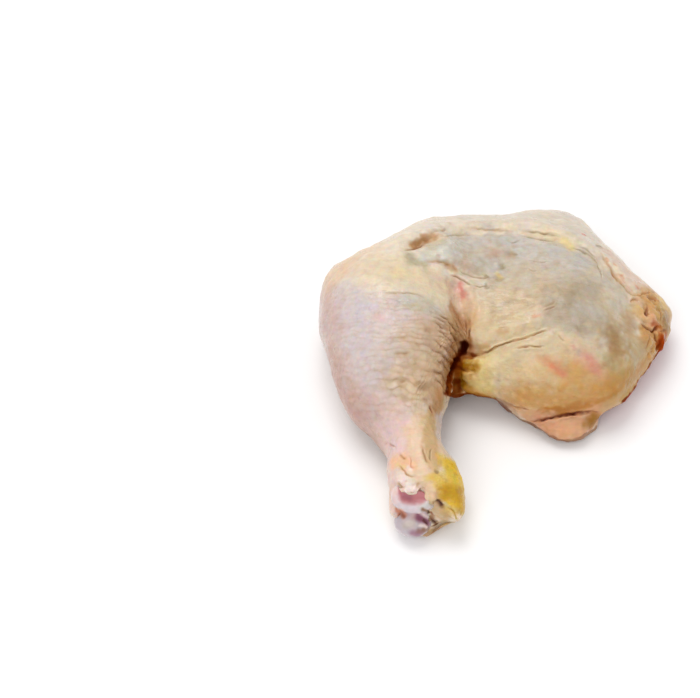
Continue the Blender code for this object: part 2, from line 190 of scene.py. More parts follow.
# Every tint of the leg, by name: its sRGB value and where it is.
TINTS = {
    "cream": ("#E9D8C0", "Skin over fat, at the knee"),
    "warm_cream": ("#E6D1AC", "Yellower skin over fat"),
    # Partly a painted highlight, where it is laid on the crests of bumps and ridges.
    "pale_cream_and_highlight": ("#EFE0CC", "Palest ridges of the skin"),
    "peach": ("#E5C2A2", "Warm skin at the knee's inner side"),
    "apricot_edge": ("#E9C9A8", "Warm rim of the knee"),
    "band": ("#DFD0BC", "Pale skin along the back of the thigh"),
    "grey_band": ("#D9CDBB", "Cooler end of the pale band"),
    # Its pale bluish white is partly a painted sheen of the wet skin.
    "pearl": ("#D4CFC2", "Wet bluish bump of skin"),
    "olive_shade": ("#B6A987", "Olive shadow in the folds"),
    "lilac": ("#D8C6C2", "Thin skin over the drumstick's muscle"),
    "lilac_blue": ("#CFC9D4", "Coldest lilac of the drumstick"),
    "sea_grey": ("#C9C8BE", "Grey-green top of the drumstick"),
    "rose": ("#DDAAA0", "Pink blush under thin skin"),
    # Painted shade on the drumstick's outer side, over its pinker skin.
    "drum_edge_and_shade": ("#C49C90", "Drumstick's outer side"),
    "low_cream": ("#DCC5A8", "Drumstick's creamy lower part"),
    # Partly painted shade: the orange-brown of the tight folds and the hollows between plucked bumps.
    "fold_skin_and_shade": ("#C4945C", "Brown skin in the tight folds by the crevice"),
    # Mostly painted shade: the crevice's dark depth, dark slots at the hip and the dark lower edges.
    "crevice": ("#661F02", "Red-black depth of the crevice"),
    "toffee": ("#8A440C", "Brown translucent fat in the crevice"),
    "honey": ("#D0A048", "Golden ridges of fat in the crevice"),
    # Painted shade in the hollows between the follicle bumps.
    "pebble_gap_shade": ("#AE8B64", "Hollows between the follicle bumps"),
    # Painted shade in the folds, on skin that turns under and along the lower edges.
    "fold_shade_brown": ("#7E4A20", "Depth of the folds"),
    # Partly painted shade in folds and in hollows of fat, partly the orange of see-through skin.
    "amber": ("#B57C45", "Translucent edge of a fold"),
    # Painted shade at the bottom of the crevice and in the knuckle's dark notches.
    "pit": ("#330500", "Bottom of the crevice behind the knee"),
    # Partly painted shade: in dark slots, creases, the knuckle's notches and along the lower right edge.
    "rust": ("#73290C", "Red-brown depth between fat lumps"),
    "blue_grey": ("#C9C2B9", "Thigh skin over dark muscle"),
    "grey": ("#CBBBA3", "Thigh skin over muscle"),
    "violet_grey": ("#AB9A82", "Darkest muscle under the skin"),
    "sand": ("#D3C1A2", "Thigh skin over thin fat"),
    "brown_pink": ("#BD9D88", "Bruise on the thigh"),
    "olive_spot": ("#907A56", "Olive-brown spots"),
    "olive": ("#9E7A46", "Olive dent by the hip"),
    # Partly painted shade: in the dent by the hip, in folds and gaps by the crevice and under the hock.
    "umber": ("#A06C38", "Brown side of the dent"),
    "straw": ("#DDC69F", "Yellowish skin of the lower roll"),
    "butter": ("#EED488", "Yellow fat by the crevice"),
    "old_gold": ("#9C6400", "Deep yellow fat"),
    # Partly painted shade on the roll's lower side, which turns from the light.
    "tan": ("#CE9448", "Orange-tan underside of the roll"),
    # Painted shade above the flap and along the roll's lower right edge.
    "deep_tan_shade": ("#BC7422", "Darkest tan by the flap"),
    "apricot": ("#DEA67B", "Flap of loose skin"),
    "salmon": ("#D88963", "Salmon-pink blotches"),
    "red": ("#D2645F", "Fresh blood spots"),
    "strip_pink": ("#DFBFA8", "Pale pink skin of the hip strip"),
    "hip_fat": ("#C4863E", "Ragged fat at the hip"),
    "hip_pale": ("#D8A866", "Paler fat at the hip"),
    "hip_red": ("#A43C0C", "Red-brown lump at the hip"),
    "shank_pink": ("#E7C8C4", "Thin pink skin of the shank"),
    "shank_cream": ("#EACBA9", "Cream stripe of the shank"),
    "shank_orange": ("#F0BE94", "Orange patch on the shank"),
    "shank_olive": ("#CDA976", "Olive-brown stripe of the shank"),
    "scale_yellow": ("#ECC43C", "Scaly yellow skin above the foot"),
    "scale_pale": ("#E4C264", "Paler upper part of that skin"),
    "scale_green": ("#D2C044", "Greenish side of that skin"),
    "mustard": ("#CA980C", "Grainy mustard band of that skin"),
    "tissue": ("#D3B88E", "Cream tissue inside the cut hock"),
    "white_fat": ("#F6E4DA", "White fat and membrane"),
    "meat": ("#B04C48", "Bare dark meat"),
    "meat_pale": ("#D08A80", "Paler meat under its membrane"),
    "meat_deep": ("#7A2523", "Seams between muscles"),
    "membrane": ("#DDBBAE", "Thin silvery membrane over meat"),
    "cartilage": ("#DDD0D5", "Cartilage of the knuckle"),
    "cartilage_blue": ("#BFB2B8", "Greyer lower knuckle"),
    "cup_rose": ("#CE7F82", "Rose hollow of the knuckle"),
    "purple": ("#8A4460", "Purple hollow below it"),
}

# Lumps joined to the skin before it is made one mesh: place in the photograph, half sizes across, up
# and out in millimetres, and how far the middle lies under the surface.
LUMPS = (
    ((405, 483), (3.0, 2.4, 2.2), 1.2),
    ((411, 487), (3.0, 2.6, 2.2), 1.0),
    ((416, 486), (4.2, 1.6, 2.5), 0.8),
    ((431, 490), (2.8, 2.7, 2.6), 0.8),
    ((433, 498), (2.4, 3.2, 2.6), 0.5),
    ((440, 513), (3.0, 3.4, 2.2), 1.4),
    ((449, 514), (3.6, 3.2, 2.0), 1.5),
    ((400, 512), (2.2, 2.6, 2.0), 1.5),
    ((640, 301), (3.0, 2.2, 1.8), 1.2),
    ((652, 320), (3.2, 3.6, 2.6), 1.2),
    ((659, 304), (3.2, 3.4, 2.2), 1.4),
    ((664, 320), (1.8, 3.6, 2.0), 1.4),
    ((648, 341), (3.2, 4.2, 2.4), 1.6),
    ((661, 337), (2.6, 3.2, 2.4), 1.3),
    ((652, 355), (2.8, 3.4, 2.0), 1.3),
    ((470, 361), (4.4, 0.9, 1.6), 0.9),
    ((471, 378), (4.6, 2.8, 2.4), 1.4),
    ((456, 387), (2.8, 1.6, 1.8), 1.5),
    ((457, 378), (2.8, 1.3, 1.8), 1.5),
    ((465, 388), (3.0, 1.8, 2.0), 1.2),
    ((451.5, 387), (1.6, 3.4, 2.0), 1.2),
    ((462.5, 391.5), (2.8, 1.3, 2.0), 1.2),
)

# Zones whose mesh is made twice as fine: radius in millimetres and a line in the photograph.
FINE_ZONES = (
    (12, ((425, 305), (438, 325), (443, 345), (438, 365), (433, 390), (428, 412))),
    (10, ((482, 292), (500, 302), (516, 314))),
    (13, ((398, 315), (405, 345), (406, 370), (404, 400))),
    (10, ((376, 330), (378, 360), (384, 392))),
    (5, ((458, 350), (464, 372), (460, 390))),
    (8, ((648, 298), (656, 320), (654, 345))),
    (13, ((410, 485), (425, 505), (440, 515))),
)

# Folds and ridges of the skin. Each: tint and cover of its depth, which is painted shade in a fold and a
# pale painted highlight along a ridge, half width and depth in millimetres (a negative depth is a
# ridge), rise of the bank on the line's left and right, and the line.
FOLDS = (
    ("crevice", 0.9, 1.3, 1.7, 0.0, 0.0,
     ((465.5, 340), (464.5, 346), (462, 352), (458, 358), (454.5, 365), (452, 371), (450, 378),
      (447.5, 387), (446, 392))),
    ("fold_shade_brown", 0.5, 0.35, 0.4, 0.2, 0.2, ((465, 320), (466, 327), (466.5, 339))),
    ("fold_shade_brown", 0.6, 0.45, 0.6, 0.2, 0.3, ((470.5, 327), (469.4, 332), (468.8, 337), (468, 341))),
    ("rust", 0.5, 0.6, 0.7, 0.9, 0.3,
     ((461, 351), (466, 354), (470, 355.4), (475, 355.8), (481, 354.8))),
    ("amber", 0.6, 0.32, 0.5, 0.7, 0.2,
     ((476, 355.6), (488, 351.2), (496, 346.8), (505, 343.6), (514, 341), (522, 338.8))),
    ("amber", 0.7, 0.35, 0.5, 0.5, 0.2,
     ((508, 343), (517, 340.5), (530, 336.5), (540, 332.5), (552, 329))),
    ("amber", 0.5, 0.35, 0.5, 0.1, 0.3, ((511, 349), (517, 347.5), (529, 346.3), (548, 347))),
    ("amber", 0.25, 1.5, 0.8, 0.7, 0.0,
     ((406, 249.5), (412, 247), (419, 243.5), (427, 240), (435, 237), (444, 234))),
    ("fold_shade_brown", 0.7, 0.5, 0.6, 0.0, 0.0,
     ((403, 250.5), (409, 249.5), (415, 248), (421, 245.5), (427, 242.5))),
    ("amber", 0.3, 0.6, 0.4, 0.4, 0.1, ((426, 236), (436, 231.6), (450, 229.7))),
    ("umber", 0.35, 0.45, 0.25, 0.2, 0.1,
     ((466, 228.4), (480, 229.2), (492, 230.4), (502, 230.6), (514, 232.2))),
    ("olive_spot", 0.4, 0.6, 0.5, 0.2, 0.1, ((441, 236), (450, 235.5), (462, 234.8), (472, 235.5))),
    ("olive_spot", 0.55, 0.42, 0.4, 0.3, 0.2,
     ((518, 231.3), (530, 232), (541.6, 233.8), (552, 235), (561, 236.5))),
    ("olive_spot", 0.5, 0.42, 0.45, 0.4, 0.0,
     ((519, 235.3), (530, 237.5), (541, 239.5), (550, 240.5), (559, 241.5))),
    ("olive_spot", 0.55, 0.38, 0.5, 0.3, 0.1,
     ((571, 247), (580, 251), (588, 255), (594, 260), (600, 266))),
    ("olive_spot", 0.45, 0.35, 0.4, 0.2, 0.1, ((578, 246), (586, 250), (594, 257), (599, 263))),
    ("olive_spot", 0.35, 0.45, 0.35, 0.2, 0.1, ((596, 262), (600, 270), (602, 280))),
    ("amber", 0.5, 0.6, 0.4, 0.4, 0.0,
     ((422, 262), (437, 261.8), (443, 262.7), (449, 265), (455.5, 269.5), (460, 273.5))),
    ("fold_shade_brown", 0.6, 0.38, 0.5, 0.3, 0.1,
     ((449, 275), (457, 277), (461, 279.5), (467.5, 283.3), (474, 286))),
    ("olive_spot", 0.4, 0.35, 0.4, 0.2, 0.1, ((472, 285.6), (481, 286.6), (489, 285.6))),
    ("olive_spot", 0.5, 0.45, 0.5, 0.1, 0.2,
     ((459, 269), (466, 274.5), (476, 277.3), (487, 277.5), (495, 276.6))),
    ("olive_spot", 0.3, 0.4, 0.25, 0.15, 0.05,
     ((380, 292.5), (395, 293), (408, 292.8), (414, 293.5), (421, 296), (429, 300))),
    ("rust", 0.9, 0.5, 1.3, 0.0, 0.9,
     ((526, 421.8), (538, 420.2), (550, 418.2), (560, 416), (570, 414.3), (583, 412.7),
      (592, 411.4), (601, 411.6))),
    ("amber", 0.5, 0.35, 0.5, 0.1, 0.3, ((508, 405), (516, 407), (525, 409), (533, 411))),
    ("amber", 0.55, 0.5, 0.7, 0.4, 0.0,
     ((600, 251), (604, 259), (609, 267), (613, 274), (618, 280.5), (623, 286), (630, 296))),
    ("hip_pale", 0.5, 0.8, -0.8, 0.0, 0.0,
     ((629, 297), (637, 297), (645, 295.2), (653, 294), (660, 298))),
    ("rust", 0.6, 0.5, 0.7, 0.2, 0.2, ((645.5, 302), (647, 308), (646.5, 313), (648, 318))),
    ("amber", 0.5, 0.5, 0.5, 0.3, 0.1,
     ((622, 284), (628, 292), (636, 296.5), (645, 294), (656, 292.5))),
    ("crevice", 0.85, 0.55, 1.1, 0.3, 0.2, ((647, 329), (652, 331.5), (655.5, 328.5), (659, 325))),
    ("crevice", 0.8, 0.5, 1.0, 0.3, 0.2, ((653.5, 330), (655.5, 337), (657, 344), (656, 350))),
    ("rust", 0.5, 0.4, 0.5, 0.2, 0.2, ((658, 331), (663, 331), (667, 329))),
    ("amber", 0.7, 0.4, 0.6, 0.2, 0.2, ((641, 323), (646, 328), (651, 330))),
    ("amber", 0.8, 0.7, 0.7, 0.2, 0.2, ((651, 296), (655, 299.5), (657, 303))),
    ("amber", 0.7, 0.4, 0.6, 0.2, 0.2, ((657, 307), (661, 313), (660, 323))),
    ("amber", 0.6, 0.4, 0.6, 0.2, 0.2, ((646, 332), (649, 340), (646, 350))),
    ("amber", 0.6, 0.45, 0.5, 0.2, 0.2, ((630, 303), (633, 299.5), (639, 299))),
    ("crevice", 0.6, 0.7, 0.5, 0.1, 0.2, ((454, 366), (459, 368.5), (464, 370.5), (469, 369.5))),
    ("crevice", 0.3, 0.9, 0.3, 0.2, 0.2, ((458, 377), (459.5, 382), (460.5, 388), (461, 393))),
    ("crevice", 0.5, 0.6, 0.3, 0.1, 0.1, ((450, 381), (454, 382.5), (459, 381.5))),
    ("toffee", 0.6, 0.5, 0.5, 0.2, 0.2, ((463, 371.5), (469, 371), (476, 370.5))),
    ("toffee", 0.6, 0.5, 0.5, 0.1, 0.1, ((460, 357.5), (467, 358.3), (476, 358.8))),
    ("pebble_gap_shade", 0.8, 0.9, 0.35, 0.1, 0.1, ((392, 353.5), (399, 353.6), (406, 353.4), (412, 352))),
    ("pebble_gap_shade", 0.4, 1.0, 0.2, 0.1, 0.1, ((386, 338), (394, 338.6), (404, 338), (411, 338.5))),
    ("pebble_gap_shade", 0.7, 0.9, 0.3, 0.1, 0.1, ((391, 379), (396, 379.5), (401, 380.5), (409, 380.5))),
    ("pebble_gap_shade", 0.4, 1.0, 0.2, 0.1, 0.1, ((404, 365), (412, 364.5), (419, 364))),
    ("pebble_gap_shade", 0.9, 0.9, 0.4, 0.2, 0.1, ((415, 386.5), (420, 387.5), (427, 388.2), (432, 387))),
    ("brown_pink", 0.5, 1.2, 0.3, 0.2, 0.1, ((424, 336.5), (430, 340.8), (435, 341))),
    ("pebble_gap_shade", 0.5, 1.0, 0.25, 0.1, 0.1, ((423, 329), (428.8, 331.2), (433, 332.5))),
    ("fold_shade_brown", 0.45, 0.55, 0.5, 0.4, 0.3,
     ((434, 311), (439, 315), (444, 317.6), (446.4, 319.6), (448.8, 322.4), (452.8, 327), (455, 330.5),
      (458, 335), (461, 341))),
    ("fold_shade_brown", 0.25, 0.5, 0.3, 0.2, 0.2,
     ((432, 316), (437, 318.5), (441, 320.2), (445, 323), (449, 327))),
    ("fold_shade_brown", 0.35, 0.55, 0.4, 0.3, 0.3,
     ((430, 321), (436, 323), (439.6, 325.2), (442, 327.4), (446, 328.2), (450, 331))),
    ("fold_shade_brown", 0.5, 0.55, 0.55, 0.4, 0.4,
     ((448, 322), (449.4, 326), (450, 330), (451, 333), (453, 336), (455.4, 338.6), (457.6, 341.4),
      (461, 348))),
    ("fold_shade_brown", 0.35, 0.5, 0.4, 0.3, 0.3,
     ((438, 330), (442.5, 333.5), (444.6, 335.4), (446.8, 337), (449.5, 339.5), (453, 344))),
    ("fold_shade_brown", 0.5, 0.65, 0.6, 0.5, 0.4,
     ((430, 337), (435.5, 341), (440, 345.2), (443.2, 347.2), (446, 348.8), (448, 351.6), (450, 354.8),
      (453.5, 358.5), (457, 363))),
    ("fold_shade_brown", 0.5, 0.5, 0.5, 0.4, 0.3,
     ((446, 343.6), (449.5, 345.3), (451.6, 346.8), (453.8, 349), (455.4, 351.4), (457, 355),
      (459, 359))),
    ("fold_shade_brown", 0.5, 0.65, 0.6, 0.5, 0.4,
     ((427, 346), (431.5, 348.8), (435, 351.8), (439, 352.6), (442.2, 354.6), (444.2, 357),
      (447, 359.4), (449, 361.4), (452, 364.5), (456, 370))),
    ("fold_shade_brown", 0.4, 0.6, 0.45, 0.4, 0.3,
     ((430, 358.6), (435, 359.6), (440.2, 361.4), (443, 362.6), (444.8, 365.8), (448, 370),
      (452, 375))),
    ("fold_shade_brown", 0.6, 0.6, 0.7, 0.4, 0.4,
     ((420, 370), (426, 370.8), (432.2, 372.2), (438.2, 372.6), (441.2, 373.6), (442.8, 376.2),
      (444.6, 379.4), (446.6, 382.2), (448.8, 386), (451, 391))),
    ("fold_shade_brown", 0.4, 0.55, 0.45, 0.3, 0.3,
     ((433, 379.6), (437, 380.4), (439.4, 381.6), (441, 383.4), (443, 387), (445.5, 390.5))),
    ("umber", 0.45, 0.5, 0.4, 0.2, 0.2,
     ((457, 314), (458.5, 318), (461, 323), (462.5, 328), (463.5, 334), (464, 342))),
    ("umber", 0.45, 0.5, 0.4, 0.2, 0.2,
     ((452, 317), (454.5, 320.5), (458, 326.4), (459.6, 331.2), (462, 336.5), (463, 344))),
    ("fold_shade_brown", 0.4, 0.6, 0.4, 0.2, 0.2, ((422, 397.5), (425, 399.5), (429, 401.5))),
    ("rust", 0.6, 0.6, 0.7, 0.2, 0.3, ((429, 405), (431, 410), (433, 414))),
    ("rose", 0.6, 0.4, 0.4, 0.2, 0.3, ((383, 446), (386, 444), (391, 444.3), (395, 446.5), (398, 450))),
    ("amber", 0.6, 0.35, 0.4, 0.2, 0.2, ((400, 453), (402, 457), (407, 459.5))),
    ("salmon", 0.4, 0.35, 0.3, 0.1, 0.1, ((408, 455), (411, 461), (411, 466), (417, 471))),
    ("amber", 0.5, 0.35, 0.4, 0.2, 0.1, ((398, 464), (402, 468), (405, 472), (409, 475.5), (418, 477))),
    ("umber", 0.55, 0.4, 0.4, 0.2, 0.1, ((422, 445), (424, 455), (427, 462), (430, 467))),
    ("olive_spot", 0.5, 0.35, 0.35, 0.1, 0.1, ((432, 447), (430, 455), (431, 464))),
    ("fold_shade_brown", 0.8, 0.8, 0.8, 0.2, 0.2, ((436, 500), (438.5, 503), (440.5, 505.8), (445, 507))),
    ("mustard", 0.5, 0.5, 0.5, 0.5, 0.0, ((443, 506), (448, 508), (453, 511), (456, 517), (458, 523))),
    ("fold_shade_brown", 0.85, 0.5, 0.8, 0.2, 0.2, ((423, 511), (427, 511), (430.5, 513.5))),
    ("fold_shade_brown", 0.8, 0.45, 0.7, 0.2, 0.2, ((431, 520), (433, 523.5), (434, 528))),
    ("fold_shade_brown", 0.8, 0.4, 0.5, 0.1, 0.1, ((429, 529), (433.5, 529), (438.5, 527.5))),
    ("fold_shade_brown", 0.15, 0.4, 0.2, 0.1, 0.1, ((541, 309), (546, 306), (552, 303), (556, 299))),
    ("fold_shade_brown", 0.15, 0.35, 0.2, 0.1, 0.1, ((543, 311), (550, 308), (557, 306))),
    ("olive_spot", 0.25, 0.35, 0.3, 0.1, 0.1, ((556, 334), (561, 338), (566, 342))),
    ("amber", 0.15, 0.8, 0.15, 0.1, 0.1, ((475, 288), (476, 300), (475, 315), (474, 326))),
    ("olive_spot", 0.3, 0.4, 0.3, 0.1, 0.1, ((509, 242.5), (515, 242), (521, 239.5))),
    ("pale_cream_and_highlight", 0.25, 0.3, -0.2, 0.0, 0.0, ((489, 304), (496, 306), (505, 305))),
    ("pale_cream_and_highlight", 0.25, 0.3, -0.2, 0.0, 0.0, ((492, 297), (500, 300), (507, 304))),
    ("pale_cream_and_highlight", 0.25, 0.3, -0.2, 0.0, 0.0, ((488, 309), (495, 310.5), (503, 309))),
    ("pale_cream_and_highlight", 0.25, 0.3, -0.2, 0.0, 0.0, ((383, 299), (391, 298), (399, 299.5))),
    ("olive_spot", 0.25, 0.3, 0.25, 0.1, 0.1, ((525, 267), (532, 270), (540, 271))),
    ("olive_spot", 0.2, 0.3, 0.25, 0.1, 0.1, ((528, 259), (540, 262), (552, 261))),
)

# Swells and hollows of the skin: place in the photograph, radius and height in millimetres.
SWELLS = (
    ((445, 253), 4.2, 1.3),
    ((452, 244), 3.0, 0.8),
    ((464, 345), 1.7, -1.6),
    ((463.5, 350), 1.6, -1.4),
    ((472, 366.5), 1.6, -0.8),
    ((529, 428), 5.0, -2.6),
    ((453, 530), 5.0, -2.6),
    ((439, 532), 4.0, -3.2),
    ((452, 500), 7.0, -0.7),
    ((645, 376), 9.0, -2.4),
    ((627, 392), 6.0, -0.9),
    ((481, 391), 5.0, 1.8),
    ((423, 519), 2.4, -0.6),
    ((616, 346), 6, -0.9),
    ((590, 300), 9, 0.5),
    ((500, 268), 9, -0.5),
    ((651, 298), 1.8, -0.9),
    ((649, 340), 3, 0.7),
    ((478, 316), 5, 0.5),
    ((415, 259), 3, -0.8),
)

# Where the drumstick's skin meets the crevice behind the knee, and its top line, in the photograph,
# with a point below the one and a point left of the other that carry them on.
CREVICE_EDGE = (
    (446, 296), (455, 306), (463, 318), (467, 332), (466, 341), (458, 357), (451, 372), (446, 392),
    (439, 408)
)
DRUMSTICK_TOP = ((335, 275), (360, 281), (380, 287), (411, 293), (431, 301), (447, 310), (456, 318))
CREVICE_BELOW = (455, 440)
KNEE_LEFT = (290, 258)
# Rows of follicle bumps, in pixels of the photograph: the height where each numbered row lies, the
# length of a bump, and how far the rows bend down towards the crevice at two heights, over what width.
ROW_HEIGHTS = (260, 335, 350, 440)
ROW_NUMBERS = (0, 15.6, 18.1, 29.6)
BUMP_LENGTH = 9.0
ROW_DROP_AT = (345, 390)
ROW_DROP = (26, 20)
ROW_BEND = 14
# In pixels too: how near the crevice the bumps close up into folds, where they fade away from it, and
# between which heights they set in and end.
TIGHT_WITHIN = (5, 30)
BUMPS_FADE = (30, 88)
BUMPS_FROM = (316, 350)
BUMPS_TO = (392, 430)
